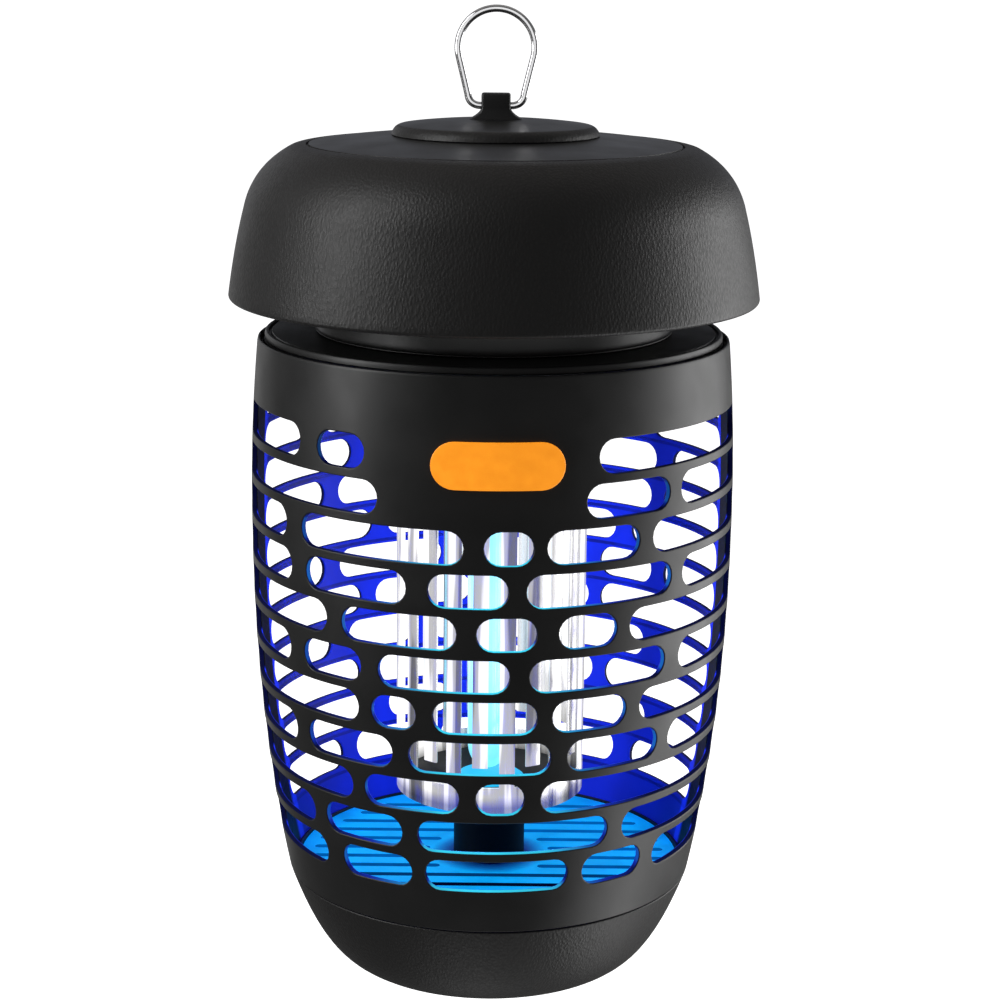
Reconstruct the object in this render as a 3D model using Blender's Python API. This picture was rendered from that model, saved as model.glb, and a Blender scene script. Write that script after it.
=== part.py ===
"""Electric bug zapper: a hanging lantern with a slotted cage round an ultraviolet lamp and a live grid.

Every size is in metres. The object stands on z = 0, +Z is up, and its front faces -Y.
"""

import math

import bmesh
import bpy
from mathutils import Vector
from mathutils.geometry import delaunay_2d_cdt

GAP = 0.0003            # clearance kept between pieces that touch
ROUND_STEPS = 48        # facets round a large turned piece
SMALL_STEPS = 12        # facets round a screw or a spacer
FACET = math.radians(15)

# Heights of the main joints and faces
SEAM = 0.0338           # cage meets collection tray
CAGE_TOP = 0.2193
DECK_TOP = 0.2210
CAP_RIM = 0.2335        # widest ring of the rain cap
CAP_CREASE = 0.2832     # textured shoulder meets the smooth top
CAP_PLATEAU = 0.2856
EYE_HEIGHT = 0.2952     # axis of the hanging ring

# Radii
FOOT_RADIUS = 0.0445
SEAM_RADIUS = 0.0699
CAGE_RADIUS = 0.0816    # widest ring of the cage
CAGE_WIDEST = 0.1630    # its height
CAP_RADIUS = 0.0885
CREASE_RADIUS = 0.0648
BOSS_RADIUS = 0.0343
NECK_RADIUS = 0.0552
NECK_FOOT = 0.0596       # the neck spreads to this radius on the deck
DECK_RADIUS = 0.0764
GRID_RADIUS = 0.0325

# Walls
CAGE_WALL = 0.0020
TRAY_WALL = 0.0024
CAP_WALL = 0.0025
NECK_WALL = 0.0025
DECK_THICKNESS = 0.0022
LEDGE = (0.2115, 0.2185)    # the cage's inner ledge swells and ends between these heights
LEDGE_RISE = (0.2140, 0.2184)   # and has its full depth between these
LEDGE_DEPTH = 0.0030
RIM_CHAMFER = 0.0008    # the cage's top edge is drawn in by this much
JOINT_LIP = (0.0018, 0.0450, 0.2100)    # the halves thicken inwards at their joint, between two heights

# Slots of the cage: rows from the lowest up, and the angles in degrees at which each slot starts and
# ends. Angles run from -90 to 90 round each half, from the left edge to the right edge as seen from -Y.
SLOT_HEIGHT = 0.0109
SLOT_PITCH = 0.01387
LOWEST_SLOT = 0.0543
SIDE = 86
FRONT_SLOTS = [
    [(-SIDE, -46), (-40, -19.5), (-16, 20.5), (24.5, 42.5), (47.5, SIDE)],
    [(-SIDE, -49), (-44.5, -21.5), (-17.5, 30.5), (35, SIDE)],
    [(-SIDE, -34.5), (-31, -7), (-3, 8.5), (12.5, SIDE)],
    [(-SIDE, -53), (-48, -23), (-19, 14.5), (18.5, 43.5), (47.5, SIDE)],
    [(-SIDE, -31.5), (-28, -17), (-13, 11), (14.5, 33), (37, SIDE)],
    [(-SIDE, -53.5), (-48, -30.5), (-26, 4.5), (9, 44), (49, SIDE)],
    [(-SIDE, -40), (-35.5, -7.5), (-3, 10.5), (15.5, 29.5), (33, SIDE)],
    [(-SIDE, -52), (-46.5, -19), (-14, 4), (8, 45), (49, SIDE)],
    [(-SIDE, -54), (-48, -6), (-1.5, 9.5), (12.5, 35), (39, SIDE)],
    [(-SIDE, -26), (21.5, 44), (48, SIDE)],
    [(-SIDE, -49), (-43, -29.5), (24.5, SIDE)],
]
REAR_END = 80.5
REAR_SLOTS = [
    [(-REAR_END, -49), (-43.5, -20), (-15, 14), (19, 39.5), (46, REAR_END)],
    [(-REAR_END, -36), (-31, -12), (-7, 16), (21, 50), (55, REAR_END)],
    [(-REAR_END, -40), (-34, -10), (-5, 30), (34, REAR_END)],
    [(-REAR_END, -49.5), (-43, -22), (-17, -1), (4, 46.5), (56, REAR_END)],
    [(-REAR_END, -38), (-33.5, -6), (0, 27.5), (31, REAR_END)],
    [(-REAR_END, -50.5), (-45, -14), (-9, 25), (30.5, 47.5), (52, REAR_END)],
    [(-REAR_END, -34), (-29.5, -4), (1, 35), (40, REAR_END)],
    [(-REAR_END, -50), (-45, -18), (-12, 8), (14, 46.5), (51, REAR_END)],
    [(-REAR_END, -40.5), (-35, -8), (-3, 20), (25, 48), (54, REAR_END)],
    [(-REAR_END, -56), (-50, -22), (-16, 14), (20, 40), (46, REAR_END)],
    [(-REAR_END, -44), (-38, -12), (-6, 20), (26, 46), (52, REAR_END)],
]

# Live grid: two combs of flat strips that pass each other on one cylinder
STRIPS = 11
STRIP_WIDTH = 0.0053
STRIP_THICKNESS = 0.0008
LOWER_BAND = (0.0604, 0.0697)
UPPER_BAND = (0.2040, 0.2106)
LOWER_TIPS = 0.1980     # the lower comb's strips end here, below the upper band
UPPER_TIPS = 0.0766
LOWER_PHASE = math.radians(-22)

# Lamp: a glass tube folded into a U
TUBE_RADIUS = 0.0056
LEG_OFFSET = 0.0074
LAMP_TURN = math.radians(-17)
LAMP_TOP = 0.1917
LAMP_BOTTOM = 0.0664

# Floor grille
FLOOR_TOP = 0.0342
FLOOR_THICKNESS = 0.0024
FLOOR_RADIUS = 0.0662
FLOOR_PITCH = 0.0085
FLOOR_SLOT = 0.0030
FLOOR_HUB = 0.0212
FLOOR_BORDER = 0.0620

# Circuit board, the posts of the three tie screws that pass through it, and the cord's gland
BOARD_BOTTOM = 0.2360
BOARD_THICKNESS = 0.0016
POST_CIRCLE = 0.0455
POST_ANGLES = [math.radians(angle) for angle in (30, 150, 270)]
GLAND_HEIGHT = 0.2500

# Hanger boss, a shallow dome, and its lug, whose foot widens by FLARE on each side below FLARE_TOP
BOSS_RIM_TOP = 0.2890
BOSS_TOP = 0.2909
BOSS_TOP_RADIUS = 0.0076
LUG_WIDTH, LUG_DEPTH, LUG_EDGE = 0.0096, 0.0068, 0.0012
LUG_TOP = 0.2993
FLARE, FLARE_TOP = 0.0030, 0.2946
LUG_LEVELS = (BOSS_TOP, 0.2920, 0.2932, FLARE_TOP)

# Hanging ring
WIRE_RADIUS = 0.0012
RING_ARC = 0.0126
RING_ARC_HEIGHT = 0.3140
RING_CORNER = (0.0074, 0.0014)   # half-width of the bottom wire and its rise at the corner


def clear_scene():
    for thing in list(bpy.data.objects):
        bpy.data.objects.remove(thing, do_unlink=True)


def material(name, colour, roughness, metallic=0.0):
    made = bpy.data.materials.new(name)
    made.use_nodes = True
    shader = made.node_tree.nodes["Principled BSDF"]
    shader.inputs["Base Color"].default_value = (*colour, 1.0)
    shader.inputs["Roughness"].default_value = roughness
    shader.inputs["Metallic"].default_value = metallic
    return made


def add_object(name, bm, finish, location=(0, 0, 0), rotation=(0, 0, 0), parent=None):
    """Turns a bmesh into a named object with outward faces and smooth round surfaces."""
    bmesh.ops.recalc_face_normals(bm, faces=bm.faces)
    mesh = bpy.data.meshes.new(name)
    bm.to_mesh(mesh)
    bm.free()
    mesh.materials.append(finish)
    mesh.shade_smooth()
    mesh.set_sharp_from_angle(angle=math.radians(35))
    made = bpy.data.objects.new(name, mesh)
    made.location = location
    made.rotation_euler = rotation
    made.parent = parent
    bpy.context.collection.objects.link(made)
    return made


def turned(outline, steps=ROUND_STEPS):
    """A solid of revolution about Z. The outline is a loop, or runs from the axis back to the axis."""
    bm = bmesh.new()
    points = [bm.verts.new((radius, 0, height)) for radius, height in outline]
    edges = [bm.edges.new(pair) for pair in zip(points, points[1:])]
    if outline[0][0] > 0 or outline[-1][0] > 0:
        edges.append(bm.edges.new((points[-1], points[0])))
    bmesh.ops.spin(
        bm, geom=points + edges, cent=(0, 0, 0), axis=(0, 0, 1),
        angle=math.tau, steps=steps, use_merge=True,
    )
    bmesh.ops.remove_doubles(bm, verts=bm.verts, dist=1e-7)
    return bm


def inset(outline, distance):
    """The outline moved to the left of its direction of travel by a distance."""
    moved = []
    for index, (radius, height) in enumerate(outline):
        before = Vector(outline[max(index - 1, 0)])
        after = Vector(outline[min(index + 1, len(outline) - 1)])
        along = (after - before).normalized()
        moved.append((radius - along.y * distance, height + along.x * distance))
    return moved


def bezier(start, control, end, steps):
    """Points of a quadratic Bezier curve, its start left out."""
    points = []
    for index in range(1, steps + 1):
        t = index / steps
        weights = ((1 - t) ** 2, 2 * t * (1 - t), t * t)
        points.append(tuple(sum(w * p[k] for w, p in zip(weights, (start, control, end))) for k in (0, 1)))
    return points


def inside(point, loop):
    """Whether a point is inside a closed loop of points, by counting crossings."""
    x, y = point
    crossings = 0
    for (ax, ay), (bx, by) in zip(loop, loop[1:] + loop[:1]):
        if (ay > y) != (by > y) and x < ax + (bx - ax) * (y - ay) / (by - ay):
            crossings += 1
    return crossings % 2 == 1


def sheet(outline, holes, front, back, extra=(), lines=()):
    """The closed solid between two surfaces, front(u, v) and back(u, v), over a region with holes.

    Extra points and open lines of points are kept in its net, for a surface that curves or steps.
    """
    points, edges = [], []
    for loop in [outline] + holes:
        first = len(points)
        points += [Vector(point) for point in loop]
        edges += [(first + i, first + (i + 1) % len(loop)) for i in range(len(loop))]
    for line in lines:
        edges += [(len(points) + i, len(points) + i + 1) for i in range(len(line) - 1)]
        points += [Vector(point) for point in line]
    points += [Vector(point) for point in extra]
    points, _, faces, *_ = delaunay_2d_cdt(points, edges, [], 0, 1e-7)
    kept = []
    for face in faces:
        middle = sum((points[i] for i in face), Vector((0, 0))) / len(face)
        if inside(middle, outline) and not any(inside(middle, hole) for hole in holes):
            kept.append(face)
    bm = bmesh.new()
    used = sorted({index for face in kept for index in face})
    near = {index: bm.verts.new(front(*points[index])) for index in used}
    far = {index: bm.verts.new(back(*points[index])) for index in used}
    sides = set()
    for face in kept:
        bm.faces.new([near[i] for i in face])
        bm.faces.new([far[i] for i in reversed(face)])
        for side in zip(face, face[1:] + face[:1]):
            if side[::-1] in sides:
                sides.discard(side[::-1])
            else:
                sides.add(side)
    for a, b in sides:
        bm.faces.new((near[b], near[a], far[a], far[b]))
    return bm


def rounded_bar(start, end, middle, height, step=1.0, end_steps=3):
    """A slot outline from start to end with round ends, and points at each step along its long sides."""
    radius = height / 2
    between = []
    mark = math.ceil((start + radius) / step) * step
    while mark < end - radius:
        if start + radius + step / 4 < mark < end - radius - step / 4:
            between.append(mark)
        mark += step
    points = [(mark, middle - radius) for mark in between]
    for centre, turn in ((end - radius, -math.pi / 2), (start + radius, math.pi / 2)):
        for index in range(end_steps + 1):
            angle = turn + math.pi * index / end_steps
            points.append((centre + radius * math.cos(angle), middle + radius * math.sin(angle)))
        if turn < 0:
            points += [(mark, middle + radius) for mark in reversed(between)]
    return points


def circle(x, y, radius, steps):
    return [
        (x + radius * math.cos(math.tau * i / steps), y + radius * math.sin(math.tau * i / steps))
        for i in range(steps)
    ]


# ---- collection tray -------------------------------------------------------------------------------

def tray_radius(height):
    """Outer radius of the tray, a bowl that rises from a flat foot to the seam."""
    return FOOT_RADIUS + (SEAM_RADIUS - FOOT_RADIUS) * (height / SEAM) ** 0.47


def add_tray(finish):
    heights = (0, 0.0008, 0.0025, 0.0055, 0.010, 0.016, 0.022, 0.028, SEAM - GAP)
    outer = [(tray_radius(height), height) for height in heights]
    inner = inset(outer, TRAY_WALL)[2:-1:2]
    rim = [(outer[-1][0] - TRAY_WALL, outer[-1][1])]
    floor = [(inner[0][0] - 0.004, TRAY_WALL), (0, TRAY_WALL)]
    add_object("collection_tray", turned([(0, 0)] + outer + rim + inner[::-1] + floor), finish)


# ---- cage ------------------------------------------------------------------------------------------

def cage_radius(height):
    """Outer radius of the cage: fullest a little above its middle, drawn in towards the tray."""
    if height < CAGE_WIDEST:
        drop = (CAGE_WIDEST - height) / (CAGE_WIDEST - SEAM)
        return CAGE_RADIUS - (CAGE_RADIUS - SEAM_RADIUS) * drop ** 2.3
    return CAGE_RADIUS - 0.0026 * ((height - CAGE_WIDEST) / (CAGE_TOP - CAGE_WIDEST)) ** 2


def on_cage(turn, offset=0.0):
    """A function that places (angle in radians times CAGE_RADIUS, height) on the cage wall.

    A negative offset gives the inner surface, which carries the ledge under the deck plate and swells
    into a lip along the joint of the two halves.
    """
    def place(along, height):
        angle = along / CAGE_RADIUS + turn
        radius = cage_radius(height) + offset
        depth, low, high = JOINT_LIP
        if offset < 0 and abs(along) > math.radians(89) * CAGE_RADIUS and low < height < high:
            radius -= depth
        if offset < 0 and abs(height - sum(LEDGE) / 2) < (LEDGE[1] - LEDGE[0]) / 2 - 1e-6:
            radius -= LEDGE_DEPTH
        if offset == 0 and height > CAGE_TOP - 1e-6:
            radius -= RIM_CHAMFER
        return radius * math.sin(angle), -radius * math.cos(angle), height
    return place


def add_cage_half(name, rows, turn, finish):
    """Half of the cage, with its joint faces on the plane y = 0."""
    step = FACET * CAGE_RADIUS
    edge = math.pi / 2 * CAGE_RADIUS - GAP / 2
    bottom, top = SEAM, CAGE_TOP
    columns = [edge * i / 9 for i in range(-9, 10)]
    levels = [bottom + (top - bottom) * i / 8 for i in range(1, 8)]
    levels += [LEDGE[0], *LEDGE_RISE, LEDGE[1]]
    outline = [(u, bottom) for u in columns] + [(edge, z) for z in levels]
    outline += [(u, top) for u in columns[::-1]] + [(-edge, z) for z in levels[::-1]]
    slots = []
    for index, row in enumerate(rows):
        middle = LOWEST_SLOT + SLOT_PITCH * index
        for start, end in row:
            ends = [math.radians(angle) * CAGE_RADIUS for angle in (start, end)]
            slots.append(rounded_bar(*ends, middle, SLOT_HEIGHT, step))
    ledge_lines = [[(u, z) for u in columns[::2]] for z in levels[-4:]]
    extra = [(step * i, z) for i in range(-5, 6) for z in (0.0410, 0.2070)]
    if turn == 0:
        extra += [(step * i, 0.1860) for i in (-1, 0, 1)]
    bm = sheet(outline, slots, on_cage(turn), on_cage(turn, -CAGE_WALL), extra, ledge_lines)
    return add_object(name, bm, finish)


def add_badge(finish):
    """A plain plate with round ends on the solid panel of the cage front."""
    outline = rounded_bar(-0.0190, 0.0230, 0.1915, 0.0150, 0.006)
    bm = sheet(outline, [], on_cage(0, 0.0013), on_cage(0, GAP))
    return add_object("badge_plate", bm, finish)


# ---- floor grille and pedestal -----------------------------------------------------------------------

def add_floor_grille(finish):
    """A flat disc with straight slots that stop short of a plain hub and of the rim."""
    slots = [circle(0, 0, 0.0019, SMALL_STEPS)]
    for index in range(-7, 7):
        across = FLOOR_PITCH * (index + 0.5)
        limit = math.sqrt(FLOOR_BORDER ** 2 - (abs(across) + FLOOR_SLOT / 2) ** 2)
        if limit < 0.010:
            continue
        hub = FLOOR_HUB ** 2 - across ** 2
        if hub > 0:
            inner = math.sqrt(hub)
            slots.append(rounded_bar(inner, limit, across, FLOOR_SLOT, 1, 2))
            slots.append(rounded_bar(-limit, -inner, across, FLOOR_SLOT, 1, 2))
        else:
            slots.append(rounded_bar(-limit, limit, across, FLOOR_SLOT, 1, 2))
    bottom = FLOOR_TOP - FLOOR_THICKNESS
    bm = sheet(
        circle(0, 0, FLOOR_RADIUS, ROUND_STEPS), slots,
        lambda x, y: (x, y, FLOOR_TOP), lambda x, y: (x, y, bottom),
    )
    return add_object("floor_grille", bm, finish)


def add_pedestal(finish):
    """A column on the floor grille whose flange holds the lower comb from inside."""
    base = FLOOR_TOP + GAP
    flange = GRID_RADIUS - STRIP_THICKNESS - 0.0004
    outline = [
        (0, 0.048), (0.0019, 0.048), (0.0019, base), (0.0124, base), (0.0124, 0.0585),
        (flange, 0.0600), (flange, 0.0628), (0.0118, 0.0628), (0.0109, 0.0638), (0, 0.0638),
    ]
    return add_object("grid_pedestal", turned(outline, 32), finish)


# ---- live grid ---------------------------------------------------------------------------------------

def comb(band, tips, phase):
    """A ring with flat strips standing on it, or hanging from it where the tips are lower."""
    pitch = math.tau / STRIPS
    half = STRIP_WIDTH / 2 / GRID_RADIUS
    inner = GRID_RADIUS - STRIP_THICKNESS
    root, far = (band[1], band[0]) if tips > band[1] else (band[0], band[1])
    bm = bmesh.new()

    def corner(angle, radius, height):
        return bm.verts.new((radius * math.sin(angle), -radius * math.cos(angle), height))

    columns, sides = [], []
    for index in range(STRIPS):
        centre = phase + pitch * index
        sides.append((centre - half, centre + half))
        for angle in (*sides[-1], centre + pitch / 2):
            columns.append([corner(angle, r, z) for r in (GRID_RADIUS, inner) for z in (root, far)])
    count = len(columns)
    for index in range(count):
        a, b = columns[index], columns[(index + 1) % count]
        bm.faces.new((a[0], a[1], b[1], b[0]))
        bm.faces.new((a[2], b[2], b[3], a[3]))
        bm.faces.new((a[1], a[3], b[3], b[1]))
        if index % 3:
            bm.faces.new((a[0], b[0], b[2], a[2]))
            continue
        p, q = ([corner(angle, r, tips) for r in (GRID_RADIUS, inner)] for angle in sides[index // 3])
        bm.faces.new((a[0], b[0], q[0], p[0]))
        bm.faces.new((b[0], b[2], q[1], q[0]))
        bm.faces.new((b[2], a[2], p[1], q[1]))
        bm.faces.new((a[2], a[0], p[0], p[1]))
        bm.faces.new((p[0], q[0], q[1], p[1]))
    return bm


def add_grid(finish):
    add_object("lower_grid", comb(LOWER_BAND, LOWER_TIPS, LOWER_PHASE), finish)
    upper_phase = LOWER_PHASE + math.pi / STRIPS
    add_object("upper_grid", comb(UPPER_BAND, UPPER_TIPS, upper_phase), finish)


def add_grid_carrier(finish):
    """The insulating ring under the deck that holds the upper comb from inside."""
    hole = 0.0156
    boss = GRID_RADIUS - STRIP_THICKNESS - 0.0004
    top = DECK_TOP - DECK_THICKNESS - GAP
    outline = [(hole, 0.2035), (boss, 0.2035), (boss, 0.2126), (0.0380, 0.2126), (0.0380, top), (hole, top)]
    return add_object("grid_carrier", turned(outline, 32), finish)


# ---- lamp --------------------------------------------------------------------------------------------

def add_lamp(glass, base_finish, socket_finish):
    """A U-shaped tube, the base that its legs enter, and the socket that the base plugs into."""
    curve = bpy.data.curves.new("uv_lamp", "CURVE")
    curve.dimensions = "3D"
    curve.bevel_depth = TUBE_RADIUS
    curve.bevel_resolution = 4
    curve.use_fill_caps = True
    bend = LAMP_BOTTOM + TUBE_RADIUS + LEG_OFFSET
    path = [(LEG_OFFSET, LAMP_TOP), (LEG_OFFSET, (LAMP_TOP + bend) / 2)]
    for index in range(9):
        angle = math.pi * index / 8
        path.append((LEG_OFFSET * math.cos(angle), bend - LEG_OFFSET * math.sin(angle)))
    path += [(-LEG_OFFSET, (LAMP_TOP + bend) / 2), (-LEG_OFFSET, LAMP_TOP)]
    spline = curve.splines.new("POLY")
    spline.points.add(len(path) - 1)
    for point, (along, height) in zip(spline.points, path):
        point.co = (0, along, height, 1)
    curve.materials.append(glass)
    lamp = bpy.data.objects.new("uv_lamp", curve)
    lamp.rotation_euler = (0, 0, LAMP_TURN)
    bpy.context.collection.objects.link(lamp)

    base_low, base_high = LAMP_TOP + GAP, 0.2032
    outline = [
        (0, base_low), (0.0134, base_low), (0.0140, base_low + 0.0006), (0.0140, base_high),
        (0.0060, base_high), (0.0060, 0.2100), (0, 0.2100),
    ]
    add_object("lamp_base", turned(outline, 24), base_finish)
    outline = [
        (0, 0.2260), (0, 0.2106), (0.0064, 0.2106), (0.0064, 0.2035), (0.0148, 0.2035),
        (0.0148, DECK_TOP + GAP), (0.0190, DECK_TOP + GAP), (0.0190, 0.2236), (0.0130, 0.2260),
    ]
    add_object("lamp_socket", turned(outline[1:] + outline[:1], 24), socket_finish)


# ---- deck, neck and rain cap -------------------------------------------------------------------------

def post_places():
    return [(POST_CIRCLE * math.cos(angle), POST_CIRCLE * math.sin(angle)) for angle in POST_ANGLES]


def add_deck(finish):
    """The plate that closes the cage, with a hole for the socket and three screw holes."""
    holes = [circle(0, 0, 0.0154, 24)] + [circle(x, y, 0.0020, SMALL_STEPS) for x, y in post_places()]
    bottom = DECK_TOP - DECK_THICKNESS
    bm = sheet(
        circle(0, 0, DECK_RADIUS, ROUND_STEPS), holes,
        lambda x, y: (x, y, DECK_TOP), lambda x, y: (x, y, bottom),
    )
    return add_object("deck_plate", bm, finish)


def cutter(name, radius, start, end, height):
    """A hidden cylinder along Y between start and end, for a hole through a rear wall."""
    bm = turned([(0, 0), (radius, 0), (radius, end - start), (0, end - start)], SMALL_STEPS)
    tool = add_object(name, bm, bpy.data.materials["black plastic"], (0, start, height), (-math.pi / 2, 0, 0))
    tool.hide_render = True
    tool.display_type = "WIRE"
    return tool


def cut(target, tool, operation="DIFFERENCE"):
    boolean = target.modifiers.new(tool.name, "BOOLEAN")
    boolean.object = tool
    boolean.operation = operation
    boolean.solver = "EXACT"


def add_neck(finish):
    """The drum under the cap that holds the electronics, with a drafted, filleted foot on the deck."""
    base, top, draft_end = DECK_TOP + GAP, 0.2806, 0.2430
    foot = bezier((NECK_FOOT, base), (NECK_FOOT - 0.0010, base + 0.0006), (NECK_FOOT - 0.0013, 0.2245), 3)
    outer = [(NECK_FOOT, base)] + foot + [(NECK_RADIUS, draft_end), (NECK_RADIUS, top)]
    inner = [(NECK_RADIUS - NECK_WALL, top), (NECK_RADIUS - NECK_WALL, base)]
    neck = add_object("neck_housing", turned(outer + inner), finish)
    cut(neck, cutter("neck_cord_hole", 0.0053, 0.045, 0.062, GLAND_HEIGHT))
    return neck


def cap_outline(offset):
    """The cap's side and shoulder from the rim up to the crease, then its low cone up to the plateau."""
    side = bezier((0.0883, 0.2348), (0.0862, 0.2500), (0.0832, 0.2615), 4)
    shoulder = bezier((0.0832, 0.2615), (0.0800, 0.2765), (CREASE_RADIUS, CAP_CREASE), 7)
    points = [(CAP_RADIUS, CAP_RIM), (0.0883, 0.2348)] + side + shoulder
    points += [(0.0500, 0.2847), (BOSS_RADIUS, CAP_PLATEAU), (0.0064, CAP_PLATEAU)]
    return inset(points, offset) if offset else points


def add_cap(finish):
    outer = [(0.0868, CAP_RIM - 0.0015), (0.0881, CAP_RIM - 0.0011)] + cap_outline(0)
    flat = CAP_PLATEAU - CAP_WALL
    inner = [(0.0860, CAP_RIM - 0.0015)] + cap_outline(CAP_WALL)[2:-2:2]
    inner += [(BOSS_RADIUS, flat), (0.0064, flat)]
    cap = add_object("rain_cap", turned(outer + inner[::-1]), finish)
    low, bore_top, high = BOARD_BOTTOM + BOARD_THICKNESS + GAP, 0.2540, CAP_CREASE + 0.0004
    tube = [(0, bore_top), (0.0018, bore_top), (0.0018, low), (0.0042, low), (0.0042, high), (0, high)]
    for index, (x, y) in enumerate(post_places(), 1):
        boss = add_object(f"cap_boss_{index}", turned(tube, SMALL_STEPS), finish, (x, y, 0))
        boss.hide_render = True
        boss.display_type = "WIRE"
        cut(cap, boss, "UNION")


def add_gland(finish):
    """The bush in the rear of the neck, under the cap, that the supply lead passes through."""
    outline = [
        (0.0034, -0.0046), (0.0062, -0.0046), (0.0062, -0.0036), (0.0050, -0.0036), (0.0050, 0.0),
        (0.0070, 0.0), (0.0070, 0.0018), (0.0056, 0.0060), (0.0034, 0.0060),
    ]
    bm = turned(outline, SMALL_STEPS)
    add_object("cord_gland", bm, finish, (0, NECK_RADIUS + GAP, GLAND_HEIGHT), (-math.pi / 2, 0, 0))


# ---- hanger ------------------------------------------------------------------------------------------

def lug_half_width(height):
    """Half the width of the lug, whose foot spreads in a concave curve onto the boss."""
    below = max(FLARE_TOP - height, 0) / (FLARE_TOP - BOSS_TOP)
    return LUG_WIDTH / 2 + FLARE * below ** 2


def add_hanger(finish, steel, chrome):
    """The boss with its lug and stem, the nut under the cap, and the wire ring in the lug's eye."""
    seat = CAP_PLATEAU + GAP
    outline = [
        (0, 0.2720), (0.0060, 0.2720), (0.0060, seat), (BOSS_RADIUS, seat), (BOSS_RADIUS, 0.2864),
        (0.0336, 0.2878), (0.0315, BOSS_RIM_TOP), (0.0240, 0.2900), (BOSS_TOP_RADIUS, BOSS_TOP),
        (0, BOSS_TOP),
    ]
    boss = add_object("hanger_boss", turned(outline), finish)
    depth, edge = LUG_DEPTH / 2, LUG_EDGE
    profile = [(depth, height) for height in (0.2900, *LUG_LEVELS, LUG_TOP - edge)]
    profile += [(depth - edge, LUG_TOP)]
    profile += [(-y, height) for y, height in profile[::-1]]
    bm = sheet(
        profile, [circle(0, EYE_HEIGHT, 0.0017, SMALL_STEPS)],
        lambda y, z: (lug_half_width(z), y, z), lambda y, z: (-lug_half_width(z), y, z),
        lines=[[(-depth, height), (depth, height)] for height in LUG_LEVELS],
    )
    lug = add_object("hanger_lug", bm, finish)
    lug.hide_render = True
    lug.display_type = "WIRE"
    cut(boss, lug, "UNION")

    nut_top = CAP_PLATEAU - CAP_WALL - GAP
    outline = [(0.0064, nut_top - 0.005), (0.0115, nut_top - 0.005), (0.0115, nut_top), (0.0064, nut_top)]
    add_object("hanger_nut", turned(outline, 18), steel)

    pivot = bpy.data.objects.new("ring_pivot", None)
    pivot.location = (0, 0, EYE_HEIGHT)
    bpy.context.collection.objects.link(pivot)
    curve = bpy.data.curves.new("hanging_ring", "CURVE")
    curve.dimensions = "3D"
    curve.bevel_depth = WIRE_RADIUS
    curve.bevel_resolution = 2
    spline = curve.splines.new("POLY")
    path = ring_path()
    spline.points.add(len(path) - 1)
    for point, (x, z) in zip(spline.points, path):
        point.co = (x, 0, z, 1)
    spline.use_cyclic_u = True
    curve.materials.append(chrome)
    ring = bpy.data.objects.new("hanging_ring", curve)
    ring.parent = pivot
    bpy.context.collection.objects.link(ring)


def ring_path():
    """Centre line of the ring from its pivot: a straight foot, rounded corners, legs and a round top."""
    width, rise = RING_CORNER
    centre = RING_ARC_HEIGHT - EYE_HEIGHT
    tangent = math.radians(-12)
    arc = []
    for index in range(15):
        angle = tangent + (math.pi - 2 * tangent) * index / 14
        arc.append((RING_ARC * math.cos(angle), centre + RING_ARC * math.sin(angle)))
    corner = bezier((width - 0.0018, 0), (width + 0.0016, rise * 0.3), (width + 0.0019, rise + 0.0024), 4)
    right = [(width - 0.0018, 0)] + corner
    left = [(-x, z) for x, z in right[::-1]]
    return right + arc + left


# ---- electronics -------------------------------------------------------------------------------------

def screw(name, length, head_radius, shank_radius, finish, location):
    """A pan-head screw driven upwards, placed by the underside of its head."""
    outline = [
        (0, -0.0022), (head_radius * 0.7, -0.0022), (head_radius, -0.0014), (head_radius, 0),
        (shank_radius, 0), (shank_radius, length), (0, length),
    ]
    add_object(name, turned(outline, SMALL_STEPS), finish, location)


def block(width, depth, height, chamfer):
    """A box standing on z = 0 with chamfered upright and top edges."""
    bm = bmesh.new()
    bmesh.ops.create_cube(bm, size=1)
    bmesh.ops.scale(bm, vec=(width, depth, height), verts=bm.verts)
    bmesh.ops.translate(bm, vec=(0, 0, height / 2), verts=bm.verts)
    low = [edge for edge in bm.edges if all(vert.co.z < height / 2 for vert in edge.verts)]
    bmesh.ops.bevel(
        bm, geom=[edge for edge in bm.edges if edge not in low], offset=chamfer, segments=1, affect="EDGES",
    )
    return bm


def add_electronics(board, iron, sleeve, steel):
    top = BOARD_BOTTOM + BOARD_THICKNESS
    holes = [circle(x, y, 0.0019, SMALL_STEPS) for x, y in post_places()]
    bm = sheet(
        circle(0, 0, 0.0505, 36), holes,
        lambda x, y: (x, y, top), lambda x, y: (x, y, BOARD_BOTTOM),
    )
    add_object("circuit_board", bm, board)
    add_object("transformer", block(0.030, 0.024, 0.022, 0.0015), iron, (-0.020, 0.004, top + GAP))
    can = [(0, 0), (0.0060, 0), (0.0060, 0.0170), (0.0052, 0.0180), (0, 0.0180)]
    for index, x in enumerate((0.016, 0.031)):
        add_object(f"capacitor_{index + 1}", turned(can, 16), sleeve, (x, -0.006, top + GAP))
    post_low, post_high = DECK_TOP + GAP, BOARD_BOTTOM - GAP
    tube = [(0.0018, post_low), (0.0034, post_low), (0.0034, post_high), (0.0018, post_high)]
    for index, (x, y) in enumerate(post_places(), 1):
        add_object(f"standoff_{index}", turned(tube, SMALL_STEPS), steel, (x, y, 0))
        below = DECK_TOP - DECK_THICKNESS - GAP
        screw(f"tie_screw_{index}", 0.0340, 0.0034, 0.0015, steel, (x, y, below))


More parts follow.
